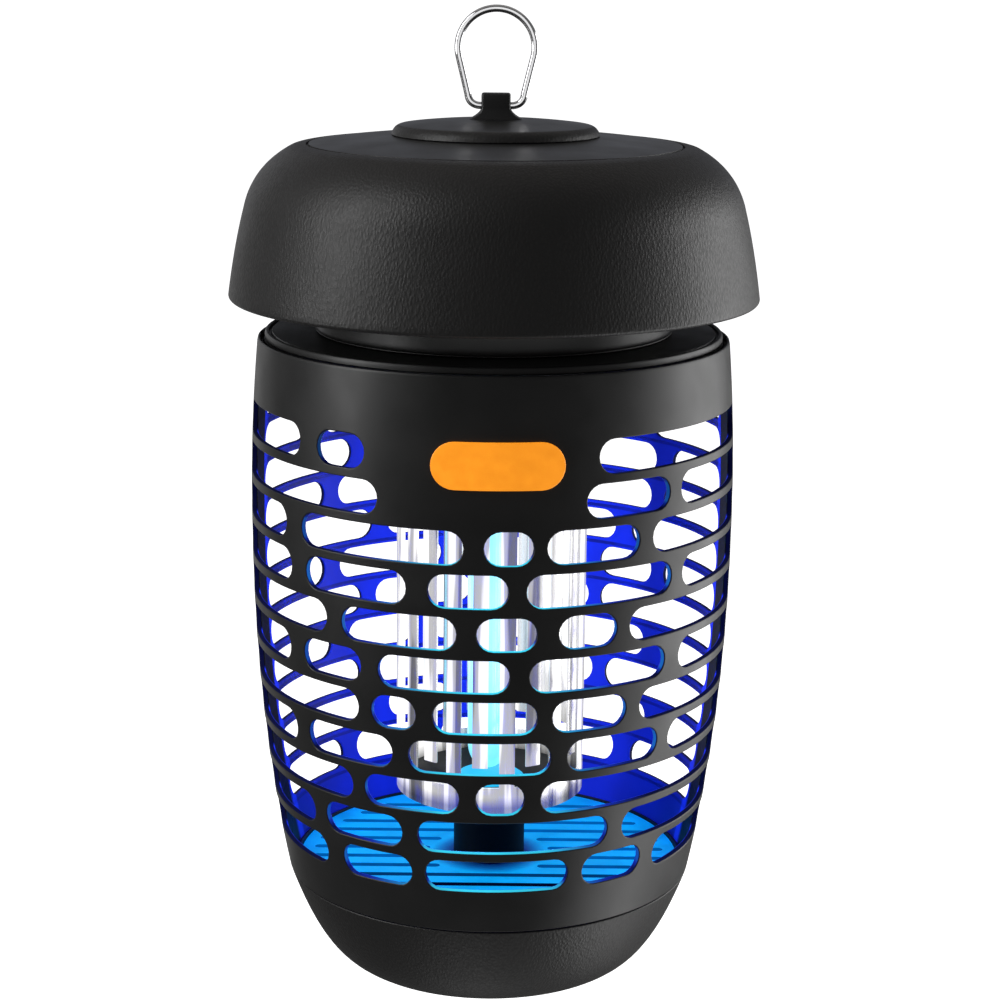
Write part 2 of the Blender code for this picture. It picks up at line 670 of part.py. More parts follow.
def build():
    clear_scene()
    black = material("black plastic", (0.020, 0.020, 0.021), 0.42)
    gloss = material("gloss black plastic", (0.015, 0.015, 0.016), 0.22)
    orange = material("orange trim", (0.83, 0.30, 0.02), 0.40)
    sky = material("sky blue plastic", (0.05, 0.45, 0.85), 0.45)
    steel = material("zinc steel", (0.62, 0.62, 0.60), 0.35, 1.0)
    chrome = material("chrome", (0.80, 0.80, 0.81), 0.08, 1.0)
    glass = material("lamp glass", (0.45, 0.75, 1.0), 0.15)
    white = material("white plastic", (0.80, 0.80, 0.78), 0.40)
    board = material("circuit board", (0.03, 0.20, 0.08), 0.50)
    iron = material("transformer", (0.25, 0.22, 0.10), 0.50)
    sleeve = material("capacitor sleeve", (0.05, 0.08, 0.25), 0.40)
    rubber = material("gland rubber", (0.018, 0.018, 0.018), 0.65)

    add_tray(black)
    add_cage_half("cage_front", FRONT_SLOTS, 0, black)
    add_cage_half("cage_rear", [[(-b, -a) for a, b in reversed(row)] for row in REAR_SLOTS], math.pi, black)
    add_badge(orange)
    add_floor_grille(sky)
    add_pedestal(black)
    screw("pedestal_screw", 0.0140, 0.0042, 0.0016, steel, (0, 0, FLOOR_TOP - FLOOR_THICKNESS - GAP))
    add_grid(steel)
    add_grid_carrier(black)
    add_lamp(glass, white, black)
    add_deck(black)
    add_neck(gloss)
    add_cap(black)
    add_gland(rubber)
    add_hanger(black, steel, chrome)
    add_electronics(board, iron, sleeve, steel)


build()
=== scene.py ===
"""Looks of the lantern bug zapper: fine meshes, materials, the glow of its lamp, studio light and camera.

Everything is in metres, in the frame of the CAD: the tray's foot on z = 0, +Z up, the front towards -Y.
"""

import math

import bmesh
import bpy
import numpy as np
from mathutils import Matrix, Vector
from mathutils.geometry import delaunay_2d_cdt


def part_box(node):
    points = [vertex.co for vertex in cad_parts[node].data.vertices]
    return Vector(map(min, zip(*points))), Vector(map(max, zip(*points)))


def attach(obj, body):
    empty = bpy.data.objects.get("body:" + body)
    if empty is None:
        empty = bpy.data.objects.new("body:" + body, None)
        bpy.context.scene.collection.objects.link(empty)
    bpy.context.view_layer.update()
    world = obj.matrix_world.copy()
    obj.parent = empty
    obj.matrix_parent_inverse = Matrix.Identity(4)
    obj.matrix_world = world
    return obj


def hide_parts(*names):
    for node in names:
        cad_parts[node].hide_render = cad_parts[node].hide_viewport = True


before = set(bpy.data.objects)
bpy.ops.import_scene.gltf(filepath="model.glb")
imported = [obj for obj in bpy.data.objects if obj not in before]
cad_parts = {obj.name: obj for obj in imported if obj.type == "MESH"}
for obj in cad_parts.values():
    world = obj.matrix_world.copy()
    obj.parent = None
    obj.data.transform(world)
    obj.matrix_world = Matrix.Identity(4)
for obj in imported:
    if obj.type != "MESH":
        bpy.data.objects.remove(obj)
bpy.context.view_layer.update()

# ---- sizes, repeated from the CAD or read from its boxes ----

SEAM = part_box("cage_front")[0].z
CAGE_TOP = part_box("cage_front")[1].z
DECK_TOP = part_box("deck_plate")[1].z
FLOOR_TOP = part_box("floor_grille")[1].z
SEAM_RADIUS = 0.0699
FOOT_RADIUS = 0.0445
CAGE_RADIUS = 0.0816
CAGE_WIDEST = 0.1630  # the height at which the cage is widest
CAGE_WALL = 0.0020
JOINT_LIP = 0.0018  # how much the cage wall thickens towards the joint of its halves
JOINT_BAND = 0.020  # how far the joint's painted shade and painted highlight reach on the cage wall
TRAY_WALL = 0.0024
CAP_WALL = 0.0025
CAP_RIM = 0.2335
CAP_CREASE = 0.2826
CREASE_RADIUS = 0.0625
CAP_PLATEAU = 0.2856
BOSS_RADIUS = 0.0343
BOSS_TOP = 0.2909
NECK_RADIUS = 0.0552
NECK_TOP = 0.2806
NECK_WALL = 0.0025
NECK_FOOT = (0.0586, 0.2219)  # control point of the small fillet where the neck meets the deck
GRID_RADIUS = 0.0325
STRIPS = 11
STRIP_WIDTH = 0.0053
STRIP_THICKNESS = 0.0008
LOWER_BAND = (0.0604, 0.0697)
UPPER_BAND = (0.2040, 0.2106)
LOWER_TIPS = 0.1980
UPPER_TIPS = 0.0766
LOWER_PHASE = math.radians(-22)
WIRE_RADIUS = 0.0012
EYE_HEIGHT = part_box("hanging_ring")[0].z + WIRE_RADIUS
GAP = 0.0003  # between pieces that rest on each other

# Rows of slots in the cage, from the lowest up. A row runs from -end to +end degrees, and posts, each
# between two angles, part its slots. The widest posts are the solid panel.
SLOT_HEIGHT = 0.0109
SLOT_PITCH = 0.01387
LOWEST_SLOT = 0.0543
FRONT_END = 86
FRONT_POSTS = [
    [(-46, -40), (-19.5, -16), (20.5, 24.5), (42.5, 47.5)],
    [(-49, -44.5), (-21.5, -17.5), (30.5, 35)],
    [(-34.5, -31), (-7, -3), (8.5, 12.5)],
    [(-53, -48), (-23, -19), (14.5, 18.5), (43.5, 47.5)],
    [(-31.5, -28), (-17, -13), (11, 14.5), (33, 37)],
    [(-53.5, -48), (-30.5, -26), (4.5, 9), (44, 49)],
    [(-40, -35.5), (-7.5, -3), (10.5, 15.5), (29.5, 33)],
    [(-52, -46.5), (-19, -14), (4, 8), (45, 49)],
    [(-54, -48), (-6, -1.5), (9.5, 12.5), (35, 39)],
    [(-26, 21.5), (44, 48)],
    [(-49, -43), (-29.5, 24.5)],
]
REAR_END = 80.5
REAR_POSTS = [  # seen from behind
    [(-46, -39.5), (-19, -14), (15, 20), (43.5, 49)],
    [(-55, -50), (-21, -16), (7, 12), (31, 36)],
    [(-34, -30), (5, 10), (34, 40)],
    [(-56, -46.5), (-4, 1), (17, 22), (43, 49.5)],
    [(-31, -27.5), (0, 6), (33.5, 38)],
    [(-52, -47.5), (-30.5, -25), (9, 14), (45, 50.5)],
    [(-40, -35), (-1, 4), (29.5, 34)],
    [(-51, -46.5), (-14, -8), (12, 18), (45, 50)],
    [(-54, -48), (-25, -20), (3, 8), (35, 40.5)],
    [(-46, -40), (-20, -14), (16, 22), (50, 56)],
    [(-52, -46), (-26, -20), (6, 12), (38, 44)],
]


# ---- material kit ----

NOISE_SPAN = (0.3, 0.7)  # nearly all values of a noise lie between these


def new_material(name, colour, roughness, metallic=0.0, **sockets):
    """A Principled material and its nodes; other sockets are named with underscores for spaces."""
    made = bpy.data.materials.new(name)
    made.use_nodes = True
    tree = made.node_tree
    inputs = tree.nodes["Principled BSDF"].inputs
    sockets.update(Base_Color=(*colour, 1.0), Roughness=roughness, Metallic=metallic)
    for socket, value in sockets.items():
        inputs[socket.replace("_", " ")].default_value = value
    return made, tree


def add_node(tree, kind, links=(), **values):
    """Adds a node, sets its values, and links (output socket, input name) pairs into it."""
    node = tree.nodes.new(kind)
    for name, value in values.items():
        if hasattr(node, name):
            setattr(node, name, value)
        else:
            node.inputs[name.replace("_", " ")].default_value = value
    for source, target in links:
        tree.links.new(source, node.inputs[target])
    return node


def surface_point(tree, stretch=(1, 1, 1)):
    """The point of the piece in metres, scaled along each axis."""
    point = tree.nodes.new("ShaderNodeTexCoord").outputs["Object"]
    if stretch == (1, 1, 1):
        return point
    scaled = add_node(tree, "ShaderNodeMapping", [(point, "Vector")])
    scaled.inputs["Scale"].default_value = stretch
    return scaled.outputs["Vector"]


def parts_of(tree, vector=None):
    """The X, Y and Z of a vector, or else of the surface point."""
    return add_node(tree, "ShaderNodeSeparateXYZ", [(vector or surface_point(tree), "Vector")]).outputs


def noise(tree, scale, detail=3.0, roughness=0.5, stretch=(1, 1, 1)):
    node = add_node(
        tree, "ShaderNodeTexNoise", [(surface_point(tree, stretch), "Vector")],
        Scale=scale, Detail=detail, Roughness=roughness,
    )
    return node.outputs["Fac"]


def ramp(tree, source, stops):
    """A colour ramp through (place, colour) stops; a number stands for a grey."""
    node = add_node(tree, "ShaderNodeValToRGB", [(source, "Fac")])
    elements = node.color_ramp.elements
    while len(elements) < len(stops):
        elements.new(1.0)
    for element, (place, colour) in zip(elements, stops):
        element.position = place
        element.color = (colour,) * 3 + (1,) if isinstance(colour, (int, float)) else (*colour, 1)
    return node.outputs["Color"]


def tones(tree, source, dark, light):
    """A noise turned into colours between two tones."""
    return ramp(tree, source, list(zip(NOISE_SPAN, (dark, light))))


def shaded(colour, *shares):
    """The colour darkened or brightened by each share."""
    return [tuple(channel * share for channel in colour) for share in shares]


def scalar(tree, operation, first, second=0.0):
    """One operation of arithmetic on numbers or sockets."""
    node = tree.nodes.new("ShaderNodeMath")
    node.operation = operation
    for index, value in enumerate((first, second)):
        if isinstance(value, (int, float)):
            node.inputs[index].default_value = value
        else:
            tree.links.new(value, node.inputs[index])
    return node.outputs[0]


def product(tree, first, *others):
    for other in others:
        first = scalar(tree, "MULTIPLY", first, other)
    return first


def to_range(tree, source, low, high, from_low=0.0, from_high=1.0):
    """Maps from_low to low and from_high to high, and goes no further than either."""
    node = add_node(tree, "ShaderNodeMapRange", [(source, "Value")])
    for name, value in zip(("From Min", "From Max", "To Min", "To Max"), (from_low, from_high, low, high)):
        node.inputs[name].default_value = value
    return node.outputs["Result"]


def uneven(tree, low, high, scale, detail=3.0, roughness=0.5):
    """A noise that wanders between two values."""
    return to_range(tree, noise(tree, scale, detail, roughness), low, high, *NOISE_SPAN)


def connect(made, socket, source):
    made.node_tree.links.new(source, made.node_tree.nodes["Principled BSDF"].inputs[socket])


def add_bump(made, height, distance, strength=1.0):
    links = [(height, "Height")]
    bump = add_node(made.node_tree, "ShaderNodeBump", links, Strength=strength, Distance=distance)
    connect(made, "Normal", bump.outputs["Normal"])


def axis_distance(tree):
    """Distance of the surface point from the lantern's axis."""
    place = parts_of(tree)
    squares = [product(tree, place[axis], place[axis]) for axis in "XY"]
    return scalar(tree, "SQRT", scalar(tree, "ADD", *squares))


# ---- materials ----

def grained_black(name):
    """Black plastic moulded with a fine leather grain, as on the cap's side and the tray."""
    made, tree = new_material(name, (0.012, 0.012, 0.012), 0.5)
    warp = add_node(tree, "ShaderNodeTexNoise", [(surface_point(tree), "Vector")], Scale=320.0, Detail=2.0)
    warped = add_node(
        tree, "ShaderNodeVectorMath", [(warp.outputs["Color"], 0), (surface_point(tree), 2)],
        operation="MULTIPLY_ADD",
    )
    warped.inputs[1].default_value = (0.0009, 0.0009, 0.0009)
    drawn_out = add_node(tree, "ShaderNodeMapping", [(warped.outputs[0], "Vector")])
    drawn_out.inputs["Scale"].default_value = (1, 1, 0.55)
    cells = add_node(
        tree, "ShaderNodeTexVoronoi", [(drawn_out.outputs["Vector"], "Vector")],
        feature="SMOOTH_F1", Scale=1250.0, Smoothness=0.45,
    )
    pebbles = to_range(tree, cells.outputs["Distance"], 1.0, 0.0, 0.1, 0.75)
    height = scalar(tree, "ADD", pebbles, uneven(tree, -0.12, 0.12, 2600.0, 2.0))
    add_bump(made, height, 0.00007, 0.9)
    stops = [(0.0, (0.0090, 0.0085, 0.0082)), (1.0, (0.0130, 0.0122, 0.0118))]
    connect(made, "Base Color", ramp(tree, height, stops))
    gloss = to_range(tree, height, 0.52, 0.42)
    connect(made, "Roughness", scalar(tree, "ADD", gloss, uneven(tree, -0.03, 0.03, 45.0)))
    return made


def satin_black(name, colour=0.0105, roughness=0.42, specular=0.5):
    """Smooth moulded black plastic with a faint mottle in its gloss."""
    made, tree = new_material(name, (colour, colour, colour), roughness, Specular_IOR_Level=specular)
    broad = noise(tree, 60.0, 4.0)
    connect(made, "Roughness", to_range(tree, broad, roughness - 0.05, roughness + 0.06, *NOISE_SPAN))
    connect(made, "Base Color", tones(tree, broad, colour * 0.85, colour * 1.15))
    add_bump(made, noise(tree, 1800.0), 0.000012)
    return made


def side_shade(tree):
    """Share of the painted lamp glow on the cage's inside, and distance from the joint's painted dark strip.

    The painted glow is dimmer at the sides and in the groove along each bar, as painted shade. The joint
    between the halves has a painted dark strip of shade, with a painted highlight line on each side of it.
    """
    place = parts_of(tree)
    sideways = to_range(tree, scalar(tree, "ABSOLUTE", place["X"]), 1.0, 0.30, 0.040, 0.066)
    row = scalar(tree, "DIVIDE", scalar(tree, "SUBTRACT", place["Z"], LOWEST_SLOT), SLOT_PITCH)
    groove = ramp(tree, scalar(tree, "PINGPONG", row, 0.5), [(0.45, 1.0), (0.465, 0.30), (0.5, 0.30)])
    # painted shade on the joint, with a painted highlight line on each side of it
    from_joint = scalar(tree, "DIVIDE", scalar(tree, "ABSOLUTE", place["Y"]), JOINT_BAND)
    clear_of_painted_joint_shade = ramp(tree, from_joint, [(0.43, 0.0), (0.50, 1.0)])
    line = ramp(tree, from_joint, [(0.51, 0.0), (0.55, 1.0), (0.72, 1.0), (0.78, 0.0)])
    inside = product(tree, sideways, groove, clear_of_painted_joint_shade)
    return scalar(tree, "ADD", inside, product(tree, line, 0.75)), clear_of_painted_joint_shade


def lit_plastic(name, base, glow, sided=False):
    """Plastic inside the cage with the ultraviolet lamp's light painted on: a painted glow and a painted blue
    tint, brightest halfway up.
    """
    made, tree = new_material(name, base, 0.45, Specular_IOR_Level=0.12, Emission_Color=(*glow, 1))
    height = parts_of(tree)["Z"]
    # painted lamp light by height: glow and tint are strongest halfway up and gone at the top
    rise = ramp(tree, height, [(0.03, 0.55), (0.08, 0.95), (0.13, 1.0), (0.195, 0.62), (0.208, 0.0)])
    level = product(tree, uneven(tree, 0.75, 1.15, 28.0), rise, 0.9)
    # the base colour's blue is painted lamp light too; on the cage it also takes the joint's painted shade
    painted_tint_share = rise
    if sided:
        share, clear_of_painted_joint_shade = side_shade(tree)
        level = product(tree, level, share)
        painted_tint_share = product(tree, rise, clear_of_painted_joint_shade)
    connect(made, "Emission Strength", level)
    connect(made, "Base Color", ramp(tree, painted_tint_share, [(0.0, 0.004), (0.6, base)]))
    add_bump(made, noise(tree, 1500.0, 2.0), 0.000012)
    return made


def slot_wall(name):
    """The dark plastic through the cage wall, with painted lamp light where it faces up near the middle or
    faces the lamp.
    """
    made, tree = new_material(name, (0.005, 0.006, 0.030), 0.55, Specular_IOR_Level=0.04)
    mottle = uneven(tree, 0.8, 1.15, 90.0)
    place = parts_of(tree)
    facing = parts_of(tree, tree.nodes.new("ShaderNodeTexCoord").outputs["Normal"])
    # painted lamp light fades out towards the top of the cage
    rise = ramp(tree, place["Z"], [(0.03, 0.8), (0.15, 1.0), (0.180, 0.5), (0.208, 0.0)])
    near = to_range(tree, scalar(tree, "ABSOLUTE", place["X"]), 1.0, 0.0, 0.012, 0.052)
    ahead = to_range(tree, place["Y"], 1.0, 0.0, -0.045, -0.020)
    painted_light_facing_up = product(tree, to_range(tree, facing["Z"], 0.0, 1.0, 0.25, 0.8), near, ahead)
    painted_light_facing_lamp = to_range(tree, product(tree, facing["X"], place["X"]), 0.48, 0.0, -0.034, -0.018)
    painted_light_facing_lamp = product(tree, painted_light_facing_lamp, to_range(tree, place["Y"], 1.0, 0.0, -0.056, -0.036))
    lit = scalar(tree, "MAXIMUM", painted_light_facing_up, painted_light_facing_lamp)
    # painted light colour: navy where little falls, then blue, then cyan painted glints where most falls
    stops = [(0.0, (0.003, 0.006, 0.10)), (0.35, (0.01, 0.05, 0.75)), (0.9, (0.04, 0.75, 1.0))]
    connect(made, "Emission Color", ramp(tree, lit, stops))
    connect(made, "Emission Strength", product(tree, mottle, rise, to_range(tree, lit, 0.22, 0.95)))
    connect(made, "Roughness", to_range(tree, mottle, 0.48, 0.62, 0.8, 1.15))
    add_bump(made, noise(tree, 1500.0, 2.0), 0.00001)
    return made


def floor_slots(name):
    """The walls of the floor's slots: black at the front, with painted blue lamp light at the back, where the
    lamp reaches.
    """
    made, tree = new_material(name, (0.002, 0.006, 0.02), 0.5, Specular_IOR_Level=0.1)
    # share of painted lamp light, growing towards the back
    behind = to_range(tree, parts_of(tree)["Y"], 0.0, 1.0, -0.027, -0.006)
    mottle = uneven(tree, 0.8, 1.15, 90.0)
    connect(made, "Emission Color", ramp(tree, behind, [(0.0, (0.0, 0.002, 0.02)), (1.0, (0.0, 0.13, 0.52))]))
    connect(made, "Emission Strength", product(tree, mottle, 0.8))
    connect(made, "Roughness", to_range(tree, mottle, 0.45, 0.6, 0.8, 1.15))
    return made


def floor_plastic(name):
    """The floor grille's plastic under the lamp: sky blue, made bright by a painted glow of the lamp's light,
    with a painted shadow round the column.
    """
    made, tree = new_material(name, (0.01, 0.22, 0.55), 0.42, Specular_IOR_Level=0.4)
    reach = axis_distance(tree)
    # painted glow: a painted shadow round the column, a thin dimmer ring round the plain middle, a fade
    # towards the rim
    shade = to_range(tree, reach, 0.10, 1.0, 0.0125, 0.0205)
    ring = ramp(tree, reach, [(0.0234, 1.0), (0.0237, 0.60), (0.0241, 0.60), (0.0244, 1.0)])
    edge = to_range(tree, reach, 1.0, 0.72, 0.050, 0.066)
    mottle = uneven(tree, 0.86, 1.1, 70.0, 5.0, 0.65)
    level = product(tree, shade, ring, edge, mottle)
    connect(made, "Emission Strength", product(tree, level, 0.80))
    connect(made, "Emission Color", ramp(tree, level, [(0.1, (0.0, 0.03, 0.45)), (0.9, (0.0, 0.42, 1.0))]))
    connect(made, "Base Color", ramp(tree, mottle, [(0.8, (0.006, 0.16, 0.42)), (1.0, (0.012, 0.26, 0.62))]))
    add_bump(made, noise(tree, 1300.0, 2.0), 0.000012)
    return made


def grid_metal(name):
    """Plated steel strip whose shine is a painted reflection: tall light and grey streaks, greyer on the
    solid rings.
    """
    made, tree = new_material(name, (0.55, 0.55, 0.55), 0.22, 1.0, Emission_Color=(1.0, 0.99, 0.98, 1))
    streaks = noise(tree, 900.0, 4.0, 0.6, (1, 1, 0.02))
    connect(made, "Roughness", to_range(tree, streaks, 0.14, 0.32, *NOISE_SPAN))
    stain = noise(tree, 110.0, 4.0, 0.6, (1, 1, 0.35))
    connect(made, "Base Color", ramp(tree, stain, [(0.35, (0.46, 0.46, 0.45)), (0.65, (0.62, 0.61, 0.60))]))
    # painted reflection: the emission's streaks, and its dip on the solid rings, stand for light that the
    # steel reflects
    broad = noise(tree, 150.0, 2.0, 0.5, (1, 1, 0.05))
    painted_reflection_streaks = ramp(tree, broad, [(0.40, 0.12), (0.44, 0.42), (0.53, 0.48), (0.56, 1.0)])
    height = parts_of(tree)["Z"]
    painted_reflection_by_height = ramp(tree, height, [(0.0600, 0.30), (0.0645, 0.36), (0.0660, 1.0), (0.2030, 1.0), (0.2060, 0.2)])
    connect(made, "Emission Strength", product(tree, painted_reflection_streaks, painted_reflection_by_height))
    add_bump(made, streaks, 0.000004)
    return made


def steel(name):
    """Zinc-plated steel, for screws, nut and standoffs."""
    colour = (0.60, 0.60, 0.58)
    made, tree = new_material(name, colour, 0.32, 1.0)
    spangle = add_node(tree, "ShaderNodeTexVoronoi", [(surface_point(tree), "Vector")], Scale=650.0)
    dark, light = shaded(colour, 0.82, 1.12)
    connect(made, "Base Color", ramp(tree, spangle.outputs["Distance"], [(0.1, dark), (0.8, light)]))
    connect(made, "Roughness", uneven(tree, 0.22, 0.44, 400.0, 4.0))
    add_bump(made, noise(tree, 1600.0), 0.00001)
    return made


def chrome(name):
    """Bright plated wire with hairline wear."""
    made, tree = new_material(name, (0.80, 0.80, 0.81), 0.07, 1.0)
    scratches = noise(tree, 1400.0, 5.0, 0.7, (1, 1, 0.15))
    connect(made, "Roughness", to_range(tree, scratches, 0.10, 0.20, 0.35, 0.75))
    connect(made, "Base Color", tones(tree, noise(tree, 160.0), (0.70, 0.70, 0.72), (0.86, 0.86, 0.86)))
    return made


def lamp_glass(name):
    """The lit ultraviolet tube: phosphor glass that shades from cyan to pale violet."""
    made, tree = new_material(
        name, (0.25, 0.60, 0.85), 0.12, Coat_Weight=0.6, Coat_Roughness=0.05, Emission_Strength=1.15,
    )
    cloud = noise(tree, 55.0, 3.0, 0.5, (1, 1, 0.3))
    stops = [(0.3, (0.16, 0.70, 0.95)), (0.5, (0.30, 0.86, 1.0)), (0.7, (0.62, 0.60, 1.0))]
    connect(made, "Emission Color", ramp(tree, cloud, stops))
    connect(made, "Base Color", tones(tree, cloud, (0.20, 0.55, 0.80), (0.35, 0.45, 0.85)))
    return made


def orange_badge(name):
    """Orange plastic that glows a little, to stay bright in the shade."""
    made, tree = new_material(name, (0.90, 0.30, 0.014), 0.42, Emission_Color=(0.94, 0.30, 0.012, 1))
    broad = noise(tree, 240.0, 4.0)
    connect(made, "Base Color", tones(tree, broad, (0.86, 0.28, 0.012), (0.92, 0.32, 0.016)))
    connect(made, "Emission Strength", to_range(tree, broad, 0.70, 0.80, *NOISE_SPAN))
    connect(made, "Roughness", to_range(tree, broad, 0.33, 0.45, *NOISE_SPAN))
    add_bump(made, noise(tree, 2400.0, 2.0), 0.00002)
    return made


def speckled(name, colour, roughness, scale, spread):
    """A plain small part's material: a colour with grain, speckle and uneven gloss."""
    made, tree = new_material(name, colour, roughness)
    grain = noise(tree, scale, 5.0, 0.6)
    connect(made, "Base Color", tones(tree, grain, *shaded(colour, 1 - spread, 1 + spread)))
    connect(made, "Roughness", to_range(tree, grain, roughness - 0.08, roughness + 0.1, *NOISE_SPAN))
    add_bump(made, grain, 0.00002)
    return made


def board_green(name):
    """Solder mask over copper tracks, with a fine glass weave."""
    made, tree = new_material(name, (0.02, 0.16, 0.07), 0.3)
    tracks = add_node(
        tree, "ShaderNodeTexBrick", [(surface_point(tree), "Vector")],
        Scale=110.0, Mortar_Size=0.06, Brick_Width=1.4, Row_Height=0.45,
    )
    tracks.inputs["Color1"].default_value = (0.012, 0.12, 0.045, 1)
    tracks.inputs["Color2"].default_value = (0.016, 0.14, 0.055, 1)
    tracks.inputs["Mortar"].default_value = (0.06, 0.28, 0.10, 1)
    connect(made, "Base Color", tracks.outputs["Color"])
    connect(made, "Roughness", uneven(tree, 0.24, 0.38, 300.0))
    add_bump(made, tracks.outputs["Fac"], 0.00003)
    return made


def studio_floor(name):
    """White paper, as bright as the backdrop."""
    made, tree = new_material(
        name, (0.90, 0.90, 0.90), 0.8, Emission_Color=(1, 1, 1, 1), Emission_Strength=1.0,
    )
    connect(made, "Base Color", tones(tree, noise(tree, 3.0), 0.895, 0.905))
    return made


MATERIALS = {
    "grained": grained_black("grained_black_plastic"),
    "satin": satin_black("satin_black_plastic"),
    "cap_top": satin_black("satin_cap_top", 0.0125, 0.33),
    "neck": satin_black("satin_neck", 0.0105, 0.46),
    "column": satin_black("matt_black_column", 0.002, 0.55, 0.12),
    # black plastic with a painted blue tint and a painted glow for the lamp's light
    "inner": lit_plastic("cage_inside_lit", (0.004, 0.008, 0.16), (0.006, 0.026, 0.90), sided=True),
    "wall": slot_wall("slot_wall_dark"),
    "floor_slots": floor_slots("floor_slot_walls"),
    # the pedestal's top, with the lamp's light painted on as a blue glow
    "floor_top": lit_plastic("pedestal_top_lit", (0.01, 0.20, 0.45), (0.02, 0.62, 0.95)),
    "floor": floor_plastic("floor_grille_lit"),
    "grid": grid_metal("grid_steel_painted_reflections"),
    "steel": steel("zinc_steel"),
    "chrome": chrome("chrome_wire"),
    "lamp": lamp_glass("uv_lamp_glass"),
    "badge": orange_badge("orange_badge_plastic"),
    "white": speckled("white_plastic", (0.78, 0.78, 0.75), 0.4, 300.0, 0.04),
    "board": board_green("board_solder_mask"),
    "iron": speckled("transformer_iron", (0.16, 0.14, 0.08), 0.5, 900.0, 0.35),
    "sleeve": speckled("capacitor_sleeve", (0.03, 0.05, 0.18), 0.35, 700.0, 0.15),
    "rubber": speckled("gland_rubber", (0.014, 0.014, 0.014), 0.62, 1200.0, 0.3),
}


# ---- mesh kit ----

def finish_piece(shape, name, materials, nodes=(), body="housing", slot="housing"):
    """Makes the object, gives it its materials, puts it under its body and hides the CAD nodes it stands for;
    the slot is not used.
    """
    piece = bpy.data.objects.new(name, shape)
    bpy.context.collection.objects.link(piece)
    for key in materials:
        shape.materials.append(MATERIALS[key])
    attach(piece, body)
    if nodes:
        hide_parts(*nodes)


def arc(centre_radius, centre_height, radius, start, end, steps):
    """Points of an arc in a profile or an outline, between two angles in degrees."""
    points = []
    for index in range(steps + 1):
        angle = math.radians(start + (end - start) * index / steps)
        points.append((centre_radius + radius * math.cos(angle), centre_height + radius * math.sin(angle)))
    return points


def bezier(start, control, end, steps):
    """Points of a quadratic Bezier curve, its start left out."""
    points = []
    for index in range(1, steps + 1):
        t = index / steps
        weights = ((1 - t) ** 2, 2 * t * (1 - t), t * t)
        points.append(tuple(sum(w * p[k] for w, p in zip(weights, (start, control, end))) for k in (0, 1)))
    return points


def inset(outline, distance):
    """The outline moved to the left of its direction of travel by a distance."""
    points = np.array(outline)
    along = np.gradient(points, axis=0)
    along /= np.linalg.norm(along, axis=1)[:, None]
    moved = points + distance * np.stack([-along[:, 1], along[:, 0]], 1)
    return [tuple(point) for point in moved]


def turned(name, profile, materials, nodes=(), steps=160, pick=None, crease=32, **kept):
    """A piece turned about the axis. The profile is a loop, or runs from the axis back to the axis.

    pick(radius, height) says which of the materials a face takes, by its middle. Edges that bend more
    than the crease, in degrees, stay sharp. Body and slot go on to finish_piece.
    """
    closed = profile[0][0] > 0 or profile[-1][0] > 0
    turns = np.linspace(0, math.tau, steps, endpoint=False)
    points, rings = [], []
    for radius, height in profile:
        first = len(points)
        if radius == 0:
            points.append((0, 0, height))
            rings.append([first] * steps)
            continue
        points += [(radius * math.cos(turn), radius * math.sin(turn), height) for turn in turns]
        rings.append(list(range(first, first + steps)))
    faces, chosen = [], []
    pairs = list(zip(profile, rings))
    for (p, low), (q, high) in zip(pairs, pairs[1:] + pairs[:1] if closed else pairs[1:]):
        which = pick((p[0] + q[0]) / 2, (p[1] + q[1]) / 2) if pick else 0
        for index in range(steps):
            after = (index + 1) % steps
            face = list(dict.fromkeys((low[index], low[after], high[after], high[index])))
            if len(face) > 2:
                faces.append(face)
                chosen.append(which)
    mesh = bpy.data.meshes.new(name)
    mesh.from_pydata(points, [], faces)
    mesh.polygons.foreach_set("material_index", chosen)
    outward(mesh)
    smooth(mesh, crease)
    finish_piece(mesh, name, materials, nodes, **kept)


def outward(mesh):
    """Turns every face outwards."""
    bm = bmesh.new()
    bm.from_mesh(mesh)
    bmesh.ops.recalc_face_normals(bm, faces=bm.faces)
    bm.to_mesh(mesh)
    bm.free()


def smooth(mesh, crease):
    mesh.shade_smooth()
    mesh.set_sharp_from_angle(angle=math.radians(crease))


def as_mesh(bm, name):
    mesh = bpy.data.meshes.new(name)
    bm.to_mesh(mesh)
    bm.free()
    return mesh


def slot_outline(start, end, middle, height, step, end_steps=10):
    """A slot with round ends: its points, the way each moves as the slot widens, and its centre line.

    The long sides have a point at each whole step, none too close to the round ends.
    """
    radius = height / 2
    points, ways = [], []

    def side(sign, marks):
        for mark in marks:
            points.append((mark, middle + sign * radius))
            ways.append((0, sign))

    margin = min(step, end - start - height) * 0.3
    first = math.ceil((start + radius + margin) / step) * step
    marks = np.arange(first, end - radius - margin, step)
    side(-1, marks)
    for centre, turn in ((end - radius, -math.pi / 2), (start + radius, math.pi / 2)):
        for index in range(end_steps + 1):
            angle = turn + math.pi * index / end_steps
            way = (math.cos(angle), math.sin(angle))
            points.append((centre + radius * way[0], middle + radius * way[1]))
            ways.append(way)
        if turn < 0:
            side(1, marks[::-1])
    return np.array(points), np.array(ways), (start + radius, end - radius, middle, radius)


def disc_outline(radius, steps):
    """A round outline; its points move inwards."""
    turns = np.linspace(0, math.tau, steps, endpoint=False)
    ways = np.stack([np.cos(turns), np.sin(turns)], 1)
    return ways * radius, -ways


def in_slots(points, slots, grow):
    """Which points lie in any slot widened by grow."""
    hit = np.zeros(len(points), bool)
    for _, _, (left, right, middle, radius) in slots:
        along = points[:, 0] - np.clip(points[:, 0], left, right)
        hit |= np.hypot(along, points[:, 1] - middle) < radius + grow
    return hit


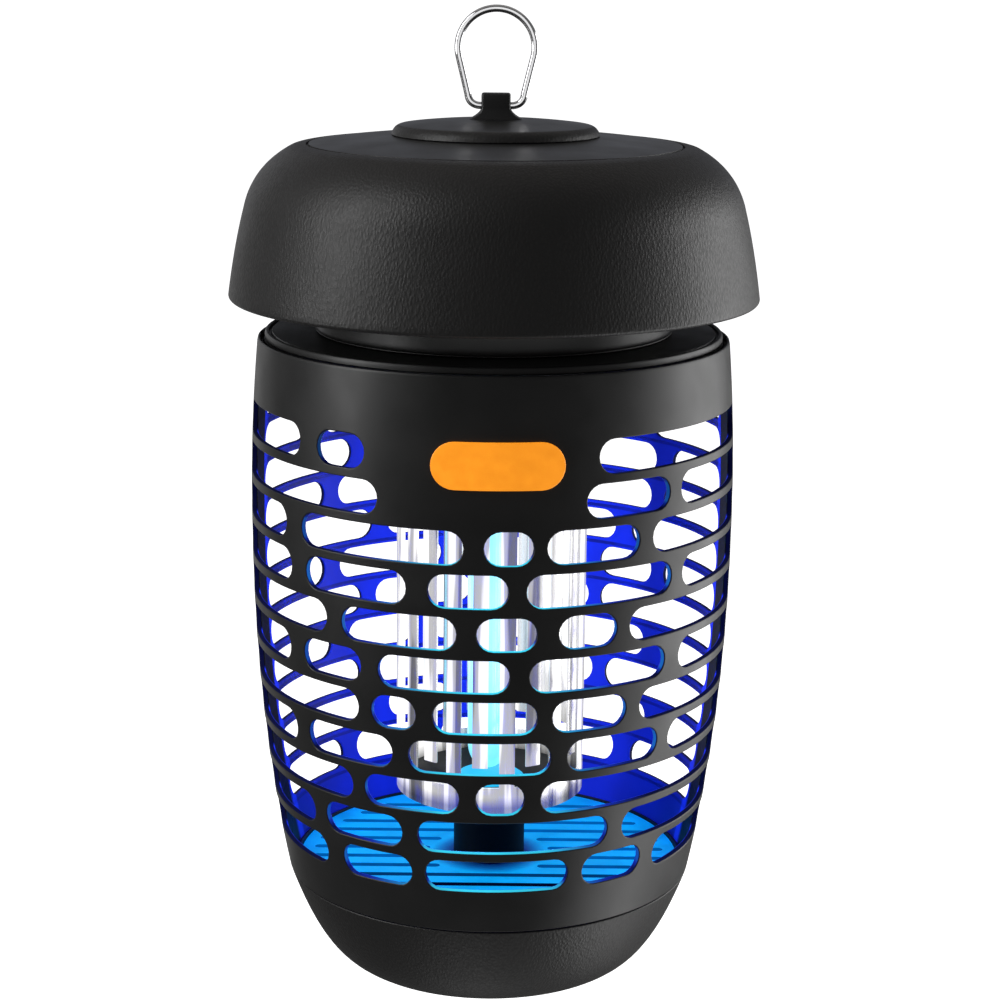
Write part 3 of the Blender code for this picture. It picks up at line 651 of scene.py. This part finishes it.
def surface_frame(surface, flat):
    """Points of the surface, and its unit directions along u, along v and outwards."""
    u, v = flat.T
    nudge = 2e-5
    along = surface(u + nudge, v) - surface(u - nudge, v)
    up = surface(u, v + nudge) - surface(u, v - nudge)
    along /= np.linalg.norm(along, axis=1)[:, None]
    up /= np.linalg.norm(up, axis=1)[:, None]
    out = np.cross(along, up)
    out /= np.linalg.norm(out, axis=1)[:, None]
    return surface(u, v), along, up, out


OUTER, INNER, THROUGH = range(3)  # material places of a plate's faces
EDGE_STEPS = 3  # steps in each rounded edge of a plate
SAME = 1e-9  # points closer than this are one point


def plate(
    name, surface, wall, edge, outline, slots, extra, materials, node, slot,
    unlit_above=1.0, thicken=lambda flat: np.zeros(len(flat)),
):
    """A plate of the housing on a curved surface, with slots through it and every edge rounded.

    Every face above the height unlit_above takes the outer material. extra holds more flat points for
    the triangles to use, and thicken(flat points) is added to the wall.
    """
    loops = [outline] + [(points, ways) for points, ways, _ in slots]
    corners, ways = (np.concatenate(parts) for parts in zip(*loops))
    flat = np.concatenate([corners + ways * edge, extra])
    borders = []
    for points, _ in loops:
        first, count = len(borders), len(points)
        borders += [(first + i, first + (i + 1) % count) for i in range(count)]
    rim_count, following = len(borders), np.array(borders)[:, 1]
    kept, _, faces, _, _, _ = delaunay_2d_cdt(flat.tolist(), borders, [], 0, SAME)
    assert len(kept) == len(flat), name
    faces = np.array(faces)
    faces = faces[~in_slots(flat[faces].mean(1), slots, edge * 0.9)]

    place, _, _, out = surface_frame(surface, flat)
    total = len(flat)
    points = [place, place - out * (wall + thicken(flat)[:, None])]
    normals = [out, -out]
    all_faces = [faces, faces[:, ::-1] + total]
    chosen = [np.full(len(faces), OUTER), np.full(len(faces), INNER)]
    turns = [90 * k / EDGE_STEPS for k in range(1, EDGE_STEPS + 1)]
    profile = [(turn, 0) for turn in turns] + [(90, 1)] + [(180 - turn, 1) for turn in turns[-2::-1]]
    previous = np.arange(rim_count)
    for number, (turn, far) in enumerate(profile):
        bend = math.radians(turn)
        grow = edge * (1 - math.sin(bend))
        depth = edge * (1 - math.cos(bend)) if not far else wall - edge * (1 + math.cos(bend))
        depth = depth + far * thicken(corners)[:, None]
        base, ring_along, ring_up, ring_out = surface_frame(surface, corners + ways * grow)
        away = -(ways[:, :1] * ring_along + ways[:, 1:] * ring_up)
        ring = np.arange(rim_count) + total * 2 + rim_count * number
        points.append(base - ring_out * depth)
        normals.append(math.cos(bend) * ring_out + math.sin(bend) * away)
        all_faces += join(previous, ring, following)
        side = OUTER if number < EDGE_STEPS - 1 else THROUGH if number < EDGE_STEPS + 1 else INNER
        chosen.append(np.full(rim_count * 2, side))
        previous = ring
    all_faces += join(previous, np.arange(rim_count) + total, following)
    chosen.append(np.full(rim_count * 2, INNER))

    mesh = bpy.data.meshes.new(name)
    points, all_faces = np.concatenate(points), np.concatenate(all_faces)
    mesh.from_pydata(points, [], all_faces.tolist())
    unlit = points[all_faces][:, :, 2].mean(1) > unlit_above
    mesh.polygons.foreach_set("material_index", np.where(unlit, OUTER, np.concatenate(chosen)))
    outward(mesh)
    mesh.shade_smooth()
    normals = np.concatenate(normals)
    mesh.normals_split_custom_set_from_vertices(normals / np.linalg.norm(normals, axis=1)[:, None])
    finish_piece(mesh, name, materials, [node], slot=slot)


def join(near, far, following):
    """Triangles between two rims that have their points in the same order."""
    a, b = near, near[following]
    c, d = far, far[following]
    return [np.stack([b, a, c], 1), np.stack([b, c, d], 1)]


# ---- cage ----

TOP_ROUND = 0.0012  # height of the cage rim's rounded outer corner
TOP_TAPER = 0.0026  # how much the cage narrows from its widest level to its rim
SLOT_EDGE = 0.00042  # radius of the edges of the cage's slots
UNLIT_ABOVE = 0.209  # the cage is plain black above this height


def cage_radius(height):
    """Outer radius of the cage at each height: widest at one level, with a rounded corner at the top."""
    drop = np.clip((CAGE_WIDEST - height) / (CAGE_WIDEST - SEAM), 0, None)
    rise = np.clip((height - CAGE_WIDEST) / (CAGE_TOP - CAGE_WIDEST), 0, None)
    corner = np.clip((height - (CAGE_TOP - TOP_ROUND)) / TOP_ROUND, 0, 0.999)
    radius = CAGE_RADIUS - (CAGE_RADIUS - SEAM_RADIUS) * drop ** 2.3 - TOP_TAPER * rise ** 2
    return radius - TOP_ROUND * (1 - np.sqrt(1 - corner ** 2)) * 0.6


def on_cage(turn, lift=0.0):
    """The cage's outer surface, lifted a little, for points given round it and up it from one side."""
    def place(along, height):
        angle = along / CAGE_RADIUS + turn
        radius = cage_radius(height) + lift
        return np.stack([radius * np.sin(angle), -radius * np.cos(angle), height], 1)
    return place


def joint_lip(flat):
    """How much the wall of a cage half thickens inwards towards its joint with the other half."""
    rise = np.interp(np.abs(flat[:, 0]) / CAGE_RADIUS, np.radians([86.2, 89.5]), [0, JOINT_LIP])
    return rise * np.interp(flat[:, 1], [0.0430, 0.0480, 0.2000, 0.2100], [0, 1, 1, 0])


def add_cage_half(name, rows, end, turn):
    """One half of the cage, with the slots that the posts of its rows leave open."""
    step = math.radians(3) * CAGE_RADIUS
    half = math.pi / 2 * CAGE_RADIUS - GAP / 2
    across = np.linspace(-half, half, 61)
    levels = np.linspace(SEAM, CAGE_TOP - TOP_ROUND, 48)
    levels = np.concatenate([levels, CAGE_TOP - np.array([0.0008, 0.0004])])
    corners = [(u, SEAM) for u in across] + [(half, z) for z in levels[1:]]
    corners += [(u, CAGE_TOP) for u in across[::-1]] + [(-half, z) for z in levels[:0:-1]]
    corners = np.array(corners)
    ways = np.stack([
        (corners[:, 0] <= -half + SAME) * 1.0 - (corners[:, 0] >= half - SAME),
        (corners[:, 1] <= SEAM + SAME) * 1.0 - (corners[:, 1] >= CAGE_TOP - SAME),
    ], 1)
    slots = []
    for index, posts in enumerate(rows):
        middle = LOWEST_SLOT + SLOT_PITCH * index
        marks = [math.radians(angle) * CAGE_RADIUS for angle in (-end, *sum(posts, ()), end)]
        for pair in zip(marks[::2], marks[1::2]):
            slots.append(slot_outline(*pair, middle, SLOT_HEIGHT, step))
    extra = np.array([(u, z) for u in across[2:-2] for z in levels[1:]])
    extra = extra[~in_slots(extra, slots, SLOT_EDGE + 0.0013)]
    plate(
        name, on_cage(turn), CAGE_WALL, SLOT_EDGE, (corners, ways), slots, extra,
        ("satin", "inner", "wall"), name.replace("_shell", ""), "housing", UNLIT_ABOVE, joint_lip,
    )


def add_badge():
    """A plain plate with round ends and no marking on the solid panel."""
    step, thickness = 0.0020, 0.0010
    points, ways, _ = slot_outline(-0.0190, 0.0230, 0.1915, 0.0150, step, 14)
    columns, levels = np.arange(-0.012, 0.017, step), np.arange(0.1865, 0.197, step)
    extra = np.array([(u, z) for u in columns for z in levels])
    plate(
        "badge_plain", on_cage(0, thickness + GAP), thickness, 0.00035, (points, -ways), [], extra,
        ("badge", "badge", "badge"), "badge_plate", "badge",
    )


# ---- tray, cap, neck and deck ----

def add_tray():
    """The bowl, with a shallow hollow under its foot and a low lip inside the cage's rim."""
    seam, bulge = 0.0338, 0.47
    top, lip = 0.0335, 0.0348
    heights = np.concatenate([np.linspace(0, 0.9, 18) ** 2 * 0.0334, np.linspace(0.0285, 0.0331, 6)])
    outer = [(FOOT_RADIUS + (SEAM_RADIUS - FOOT_RADIUS) * (z / seam) ** bulge, z) for z in heights]
    shell = outer + arc(outer[-1][0] - 0.0004, top - 0.0004, 0.0004, 0, 90, 4)
    inner = [point for point in inset(outer, TRAY_WALL) if TRAY_WALL + 0.0008 < point[1] < 0.0300]
    shell += [(0.0676, top), (0.0676, lip - 0.0001), (0.0675, lip), (0.0670, lip), (0.0669, lip - 0.0001)]
    shell += [(0.0667, 0.0315)] + inner[::-1] + [(inner[0][0] - 0.0030, TRAY_WALL), (0, TRAY_WALL)]
    hollow = [(0, 0.0012), (0.036, 0.0012), (0.0372, 0.0)]
    turned("tray_bowl", hollow + shell, ("grained",), ["collection_tray"], body="tray")


def cap_side():
    """The cap's outer side from its rim up to the crease: the wall, the round shoulder and the brow."""
    foot, shoulder, brow = (0.0883, 0.2348), (0.0832, 0.2615), (0.0680, 0.2815)
    side = [foot] + bezier(foot, (0.0862, 0.2500), shoulder, 12)
    side += bezier(shoulder, (0.0804, 0.2747), brow, 22)
    return side + bezier(brow, (0.0664, 0.2824), (CREASE_RADIUS, CAP_CREASE), 8)


def add_cap():
    """The dome, grained on its side and satin on its top, with a groove round the crease between them."""
    rim = arc(0.0873, CAP_RIM - 0.0003, 0.0012, -90, 0, 6)
    lip = (CREASE_RADIUS - 0.0009, CAP_CREASE + 0.00012)
    groove = [(CREASE_RADIUS - 0.0001, CAP_CREASE - 0.0008), (lip[0] + 0.0001, CAP_CREASE - 0.0008)]
    top = [lip] + bezier(lip, (0.0480, 0.2846), (BOSS_RADIUS - 0.001, CAP_PLATEAU), 14)
    side = cap_side()
    under = inset([(0.0884, 0.2330)] + side + top[2:], CAP_WALL)
    hole = 0.0064
    profile = rim + side + groove + top + [(hole, CAP_PLATEAU), (hole, CAP_PLATEAU - CAP_WALL)]
    profile += under[-2:0:-1] + [(0.0861, rim[0][1] + 0.0006), (0.0863, rim[0][1])]
    turned(
        "cap_dome", profile, ("grained", "cap_top"), ["rain_cap"], 200,
        pick=lambda radius, height: int(radius < CREASE_RADIUS - 0.0002 and height > 0.2823),
    )


def add_neck():
    """The drum, drawn in slightly above its foot."""
    base, bore = DECK_TOP + GAP, NECK_RADIUS - NECK_WALL
    foot = arc(0.0594, base + 0.0003, 0.0003, -90, 40, 5)
    foot += bezier((0.0596, base + 0.0005), NECK_FOOT, (0.0583, 0.2245), 8)
    outer = foot + [(NECK_RADIUS + 0.0012, 0.2350), (NECK_RADIUS, 0.2430), (NECK_RADIUS, NECK_TOP - 0.0004)]
    inner = [(NECK_RADIUS - 0.0003, NECK_TOP), (bore, NECK_TOP), (bore, base)]
    turned("neck_drum", outer + inner, ("neck",), ["neck_housing"], 200, crease=40, slot="neck")


def add_deck():
    """The deck plate, whose raised rim is set off from the flat top by a groove."""
    radius, hole = 0.0766, 0.0154
    bottom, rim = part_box("deck_plate")[0].z, DECK_TOP + 0.0003
    side = [(radius - 0.0004, bottom), (radius, bottom + 0.0004), (radius, 0.2200)]
    side += bezier((radius, 0.2200), (radius - 0.0001, rim), (radius - 0.0007, rim), 6)
    groove = [(0.0755, rim), (0.0753, rim - 0.0002), (0.0752, rim - 0.0011), (0.0744, rim - 0.0011)]
    groove += [(0.0742, DECK_TOP - 0.0002), (0.0740, DECK_TOP)]
    profile = [(hole, bottom)] + side + groove + [(hole, DECK_TOP)]
    turned("deck_disc", profile, ("satin",), ["deck_plate"], 200)


def add_ledge():
    """The ledge moulded round the inside of the cage, which the deck plate lies on."""
    profile = [(0.0768, 0.2118), (0.0768, 0.2184), (0.0740, 0.2184), (0.0737, 0.2181), (0.0737, 0.2140)]
    turned("cage_ledge", profile, ("satin",))


# ---- hanger ----

def add_hanger():
    """The boss, a shallow dome with a rolled rim and a stem below, and the lug on top of it."""
    seat = CAP_PLATEAU + GAP
    rim = [(0.0060, seat), (BOSS_RADIUS - 0.0010, seat), (BOSS_RADIUS - 0.0008, CAP_PLATEAU + 0.0001)]
    rim += [(BOSS_RADIUS, CAP_PLATEAU + 0.0001), (BOSS_RADIUS + 0.0001, CAP_PLATEAU + 0.0003)]
    brow = (0.0310, 0.2891)
    slope = bezier((BOSS_RADIUS, 0.2863), (0.0334, 0.2888), brow, 10)
    slope += bezier(brow, (0.0190, 0.2906), (0.0070, BOSS_TOP), 12)
    stem = [(0, 0.2720), (0.0056, 0.2720), (0.0060, 0.2724)]
    profile = stem + rim + slope + [(0, BOSS_TOP)]
    turned(
        "hanger_disc", profile, ("cap_top", "grained"), ["hanger_boss"], 200, crease=40,
        pick=lambda radius, height: int(radius > 0.0318),
    )
    finish_piece(lug_mesh("hanger_lug"), "hanger_lug", ("satin",))


def rounded_rectangle(half_x, half_y, corner):
    """Points of a rectangle with round corners, anticlockwise about its middle."""
    points = []
    for sign_x, sign_y, start in ((1, 1, 0), (-1, 1, 90), (-1, -1, 180), (1, -1, 270)):
        points += arc(sign_x * (half_x - corner), sign_y * (half_y - corner), corner, start, start + 90, 5)
    return points


def lug_mesh(name):
    """The lug that holds the ring: a flared foot, upright sides and a softened top, with its eye cut."""
    half_x, half_y, flare_top = 0.0048, 0.0033, 0.2948
    sections = [(0.2993, half_x - 0.0005, half_y - 0.0005), (0.2990, half_x - 0.0001, half_y - 0.0001)]
    sections += [(0.2986, half_x, half_y), (0.2964, half_x, half_y)]
    for height in np.linspace(flare_top, 0.2908, 12):
        spread = ((flare_top - height) / 0.0037) ** 2
        sections.append((height, half_x + 0.0034 * spread, half_y + 0.0006 * spread))
    sections.reverse()
    bm = bmesh.new()
    rings = []
    for height, half_x, half_y in sections:
        rings.append([bm.verts.new((x, y, height)) for x, y in rounded_rectangle(half_x, half_y, 0.0009)])
    for low, high in zip(rings, rings[1:]):
        for index in range(len(low)):
            after = (index + 1) % len(low)
            bm.faces.new((low[index], low[after], high[after], high[index]))
    bm.faces.new(rings[0][::-1])
    bm.faces.new(rings[-1])
    whole = bpy.data.objects.new(name + "_whole", as_mesh(bm, name + "_body"))
    bm = bmesh.new()
    bmesh.ops.create_cone(bm, cap_ends=True, segments=32, radius1=0.0017, radius2=0.0017, depth=0.02)
    bmesh.ops.rotate(bm, verts=bm.verts, matrix=Matrix.Rotation(math.pi / 2, 3, "Y"))
    bmesh.ops.translate(bm, verts=bm.verts, vec=(0, 0, EYE_HEIGHT))
    tool = bpy.data.objects.new(name + "_tool", as_mesh(bm, name + "_eye"))
    for thing in (whole, tool):
        bpy.context.collection.objects.link(thing)
    cut = whole.modifiers.new("eye", "BOOLEAN")
    cut.object = tool
    cut.solver = "EXACT"
    mesh = bpy.data.meshes.new_from_object(whole.evaluated_get(bpy.context.evaluated_depsgraph_get()))
    mesh.name = name
    for thing in (whole, tool):
        bpy.data.objects.remove(thing, do_unlink=True)
    smooth(mesh, 40)
    return mesh


def tube(name, path, radius, material, body, node, slot, closed, roundness):
    """A round wire or glass tube along a smooth path of points."""
    curve = bpy.data.curves.new(name, "CURVE")
    curve.dimensions = "3D"
    curve.bevel_depth = radius
    curve.bevel_resolution = roundness
    curve.use_fill_caps = not closed
    spline = curve.splines.new("POLY")
    spline.points.add(len(path) - 1)
    for point, place in zip(spline.points, path):
        point.co = (*place, 1)
    spline.use_cyclic_u = closed
    finish_piece(curve, name, (material,), [node], body, slot)


def add_ring():
    """The wire ring: a straight foot in the eye, rounded corners, legs and a round top."""
    top = arc(0, 0.3140, 0.0126, -12, 192, 48)
    foot, leg = (0.0056, EYE_HEIGHT), (0.0093, EYE_HEIGHT + 0.0038)
    corner = [foot] + bezier(foot, (0.0090, EYE_HEIGHT + 0.00042), leg, 12)
    path = corner + top + [(-x, z) for x, z in corner[::-1]]
    spots = [(x, 0, z) for x, z in path]
    tube("ring_wire", spots, WIRE_RADIUS, "chrome", "ring", "hanging_ring", "chrome", True, 8)


# ---- lamp, grid and floor ----

def add_lamp():
    """The tube: two legs joined by a half circle at the bottom."""
    radius, offset, turn = 0.0056, 0.0074, math.radians(-17)
    top, bottom = 0.1917, 0.0664
    bend = bottom + radius + offset
    leg = [(offset, z) for z in np.linspace(top, bend, 10, endpoint=False)]
    path = leg + arc(0, bend, offset, 0, -180, 24) + [(-along, z) for along, z in leg[::-1]]
    spots = [(-math.sin(turn) * along, math.cos(turn) * along, height) for along, height in path]
    tube("lamp_tube", spots, radius, "lamp", "housing", "uv_lamp", "lamp_glass", False, 10)


def add_comb(name, node, band, tips, phase):
    """One comb of the grid: a ring with flat strips, all edges slightly rounded."""
    inner = GRID_RADIUS - STRIP_THICKNESS
    pitch = math.tau / STRIPS
    half = STRIP_WIDTH / 2 / GRID_RADIUS
    root, far = (band[1], band[0]) if tips > band[1] else (band[0], band[1])
    reach = np.linspace(root, tips, 14)
    bm = bmesh.new()

    def corner(angle, radius, height):
        return bm.verts.new((radius * math.sin(angle), -radius * math.cos(angle), height))

    angles, is_strip = [], []
    for index in range(STRIPS):
        centre = phase + pitch * index
        angles += [centre - half, centre - half / 3, centre + half / 3]
        angles += [centre + half + (pitch - 2 * half) * k / 4 for k in range(4)]
        is_strip += [True] * 3 + [False] * 4
    count = len(angles)
    # The ring's corners at each angle: outer and inner, at the strips' roots and at the far rim
    ring = [[corner(a, r, z) for r in (GRID_RADIUS, inner) for z in (root, far)] for a in angles]
    strips = {}
    for index in range(count):
        if is_strip[index] or is_strip[index - 1]:
            strips[index] = [[corner(angles[index], r, z) for z in reach[1:]] for r in (GRID_RADIUS, inner)]
    for index in range(count):
        after = (index + 1) % count
        a, b = ring[index], ring[after]
        bm.faces.new((a[0], a[1], b[1], b[0]))
        bm.faces.new((a[2], b[2], b[3], a[3]))
        bm.faces.new((a[1], a[3], b[3], b[1]))
        if not is_strip[index]:
            bm.faces.new((a[0], b[0], b[2], a[2]))
            continue
        p, q = ([[ring[k][s * 2]] + strips[k][s] for s in (0, 1)] for k in (index, after))
        for level in range(len(reach) - 1):
            for s in (0, 1):
                bm.faces.new((p[s][level], q[s][level], q[s][level + 1], p[s][level + 1]))
            if not is_strip[index - 1]:
                bm.faces.new((p[0][level], p[1][level], p[1][level + 1], p[0][level + 1]))
            if not is_strip[after]:
                bm.faces.new((q[0][level], q[1][level], q[1][level + 1], q[0][level + 1]))
        bm.faces.new((p[0][-1], q[0][-1], q[1][-1], p[1][-1]))
    bmesh.ops.recalc_face_normals(bm, faces=bm.faces)
    sharp = [edge for edge in bm.edges if edge.calc_face_angle(0) > math.radians(40)]
    bmesh.ops.bevel(bm, geom=sharp, offset=0.00012, segments=2, profile=0.6, affect="EDGES")
    mesh = as_mesh(bm, name)
    smooth(mesh, 50)
    finish_piece(mesh, name, ("grid",), [node], slot="steel")


def add_pedestal():
    """The column on the floor grille, with a spigot below and a flange inside the lower comb."""
    base, column = FLOOR_TOP + GAP, 0.0124
    flange = GRID_RADIUS - STRIP_THICKNESS - 0.0004
    profile = [(0, 0.0480), (0.0019, 0.0480), (0.0019, base), (column - 0.0005, base)]
    profile += [(column, base + 0.0005), (column, 0.0575)]
    profile += bezier((column, 0.0575), (column, 0.0588), (0.0150, 0.0588), 5)
    profile += [(flange - 0.0006, 0.0600), (flange, 0.0604), (flange, 0.0622), (flange - 0.0006, 0.0628)]
    profile += [(0.0120, 0.0628), (0.0115, 0.0630), (0.0109, 0.0636), (0.0104, 0.0638), (0, 0.0638)]
    turned(
        "pedestal_column", profile, ("column", "floor_top"), ["grid_pedestal"], 96,
        pick=lambda radius, height: int(height > 0.0628),
    )


def add_floor():
    """The floor grille: a disc with parallel slots, solid at its border and round the column."""
    pitch, width, hub, border = 0.0085, 0.0030, 0.0212, 0.0620
    step, shortest = 0.006, 0.010
    slots = []
    for index in range(-7, 7):
        across = pitch * (index + 0.5)
        limit = math.sqrt(max(border ** 2 - (abs(across) + width / 2) ** 2, 0))
        if limit < shortest:
            continue
        spans = [(-limit, limit)]
        if abs(across) < hub:
            inner = math.sqrt(hub ** 2 - across ** 2)
            spans = [(inner, limit), (-limit, -inner)]
        slots += [slot_outline(*span, across, width, step, 6) for span in spans]

    def flat(along, across):
        return np.stack([along, across, np.full_like(along, FLOOR_TOP)], 1)

    columns, rows = np.arange(-0.06, 0.061, step), np.arange(-0.06, 0.061, pitch)
    grid = np.array([(x, y) for x in columns for y in rows])
    grid = grid[(np.hypot(*grid.T) < 0.0640) & ~in_slots(grid, slots, 0.0012)]
    points, ways = disc_outline(0.0662, 160)
    plate(
        "floor_disc", flat, 0.0024, 0.0002, (points, ways), slots, grid,
        ("floor", "satin", "floor_slots"), "floor_grille", "grille",
    )


add_cage_half("cage_front_shell", FRONT_POSTS, FRONT_END, 0)
add_cage_half("cage_rear_shell", REAR_POSTS, REAR_END, math.pi)
add_badge()
add_tray()
add_cap()
add_neck()
add_deck()
add_ledge()
add_hanger()
add_ring()
add_lamp()
add_comb("comb_lower", "lower_grid", LOWER_BAND, LOWER_TIPS, LOWER_PHASE)
add_comb("comb_upper", "upper_grid", UPPER_BAND, UPPER_TIPS, LOWER_PHASE + math.pi / STRIPS)
add_pedestal()
add_floor()

# Carried-over CAD nodes keep their shape and take a finished material
CARRIED = {
    "grid_carrier": "satin", "lamp_base": "white", "lamp_socket": "satin", "cord_gland": "rubber",
    "hanger_nut": "steel", "pedestal_screw": "steel", "circuit_board": "board", "transformer": "iron",
    "capacitor_1": "sleeve", "capacitor_2": "sleeve",
}
for number in (1, 2, 3):
    CARRIED[f"standoff_{number}"] = "steel"
    CARRIED[f"tie_screw_{number}"] = "steel"
for node, key in CARRIED.items():
    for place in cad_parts[node].material_slots:
        place.material = MATERIALS[key]


# ---- stage, light and camera ----

TRAY_ROOM = 0.0615  # room under the foot for the lowered tray
STUDIO_LEVEL = 0.125  # how bright the studio is for everything but the camera
AIM = Vector((0, 0, 0.18))  # what the panels face


def add_stage():
    """A plain white floor under the lantern."""
    bpy.ops.mesh.primitive_plane_add(size=60, location=(0, 0, -TRAY_ROOM))
    floor = bpy.context.object
    floor.name = "studio_floor"
    floor.data.materials.append(studio_floor("studio_floor_paper"))
    floor.visible_glossy = floor.visible_diffuse = floor.visible_shadow = False


def add_world():
    """A white backdrop for the camera and a dimmer studio for everything that the object reflects."""
    world = bpy.data.worlds.new("studio")
    bpy.context.scene.world = world
    world.use_nodes = True
    tree = world.node_tree
    back = tree.nodes["Background"]
    back.inputs["Color"].default_value = (1, 1, 1, 1)
    seen = tree.nodes.new("ShaderNodeLightPath").outputs["Is Camera Ray"]
    tree.links.new(to_range(tree, seen, STUDIO_LEVEL, 1.0), back.inputs["Strength"])


def add_light(name, kind, place, energy, colour, only):
    """A light, kept to the pieces named where there are any."""
    data = bpy.data.lights.new(name, kind)
    data.energy = energy
    data.color = colour
    lamp = bpy.data.objects.new(name, data)
    lamp.location = place
    bpy.context.collection.objects.link(lamp)
    if only:
        lit = bpy.data.collections.new(name + "_receivers")
        for piece in only:
            lit.objects.link(bpy.data.objects[piece])
        lamp.light_linking.receiver_collection = lit
    return lamp


def add_area(name, place, size, radiance, colour=(1, 1, 1), only=()):
    """A soft panel of even radiance that faces the lantern and stays out of the camera's sight."""
    lamp = add_light(name, "AREA", place, radiance * math.pi * size[0] * size[1], colour, only)
    lamp.data.shape = "RECTANGLE"
    lamp.data.size, lamp.data.size_y = size
    lamp.rotation_euler = (AIM - lamp.location).to_track_quat("-Z", "Y").to_euler()
    lamp.visible_camera = False


def add_lights():
    """Panels left and right, dimmer ones behind, above and below, and one each for the ring and the neck."""
    add_area("left_panel", (-1.128, -0.410, 0.72), (0.5, 1.5), 5.0)
    add_area("left_back_panel", (-0.71, 1.09, 0.10), (0.8, 1.3), 0.4)
    add_area("right_panel", (1.14, 0.37, 0.12), (1.0, 1.15), 3.3)
    add_area("right_low_panel", (0.94, -0.12, -0.62), (0.7, 0.95), 2.5)
    add_area("top_panel", (0, 0.6, 1.6), (2.4, 1.6), 0.15, (1.0, 0.92, 0.88))
    add_area("back_panel", (0, 2.5, 0.9), (4.0, 1.6), 0.10, (0.7, 0.76, 1.0))
    add_area("floor_bounce", (-0.05, -0.12, -0.60), (0.3, 0.5), 0.7)
    add_area("ring_panel", (0, -1.2, 0.55), (1.5, 1.2), 0.9, only=("ring_wire",))
    add_area("neck_panel", (0.25, -1.15, -0.05), (2.2, 0.6), 1.8, only=("neck_drum",))


def add_glow():
    """Blue light from the lamp that reaches only the pieces round it."""
    only = ("cage_front_shell", "cage_rear_shell", "floor_disc")
    for index, height in enumerate((0.085, 0.125, 0.165)):
        lamp = add_light(f"lamp_glow_{index}", "POINT", (0, 0, height), 0.55, (0.05, 0.35, 1.0), only)
        lamp.data.shadow_soft_size = 0.012


def add_camera():
    """A long lens in front of the lantern and above it, tilted down and very slightly rolled."""
    focal_length, tilt, roll = 86.6232, 13.177, 0.6017  # millimetres, then degrees
    data = bpy.data.cameras.new("camera")
    data.sensor_width = 36
    data.lens = focal_length
    camera = bpy.data.objects.new("camera", data)
    camera.location = (0.002675, -0.8, 0.3493)
    camera.rotation_mode = "XYZ"
    turns = [Matrix.Rotation(math.radians(90 - tilt), 4, "X"), Matrix.Rotation(math.radians(roll), 4, "Z")]
    camera.rotation_euler = (turns[0] @ turns[1]).to_euler()
    data.clip_start = 0.01
    data.clip_end = 100
    bpy.context.collection.objects.link(camera)
    bpy.context.scene.camera = camera


add_stage()
add_world()
add_lights()
add_glow()
add_camera()
bpy.context.scene.view_settings.view_transform = "Standard"
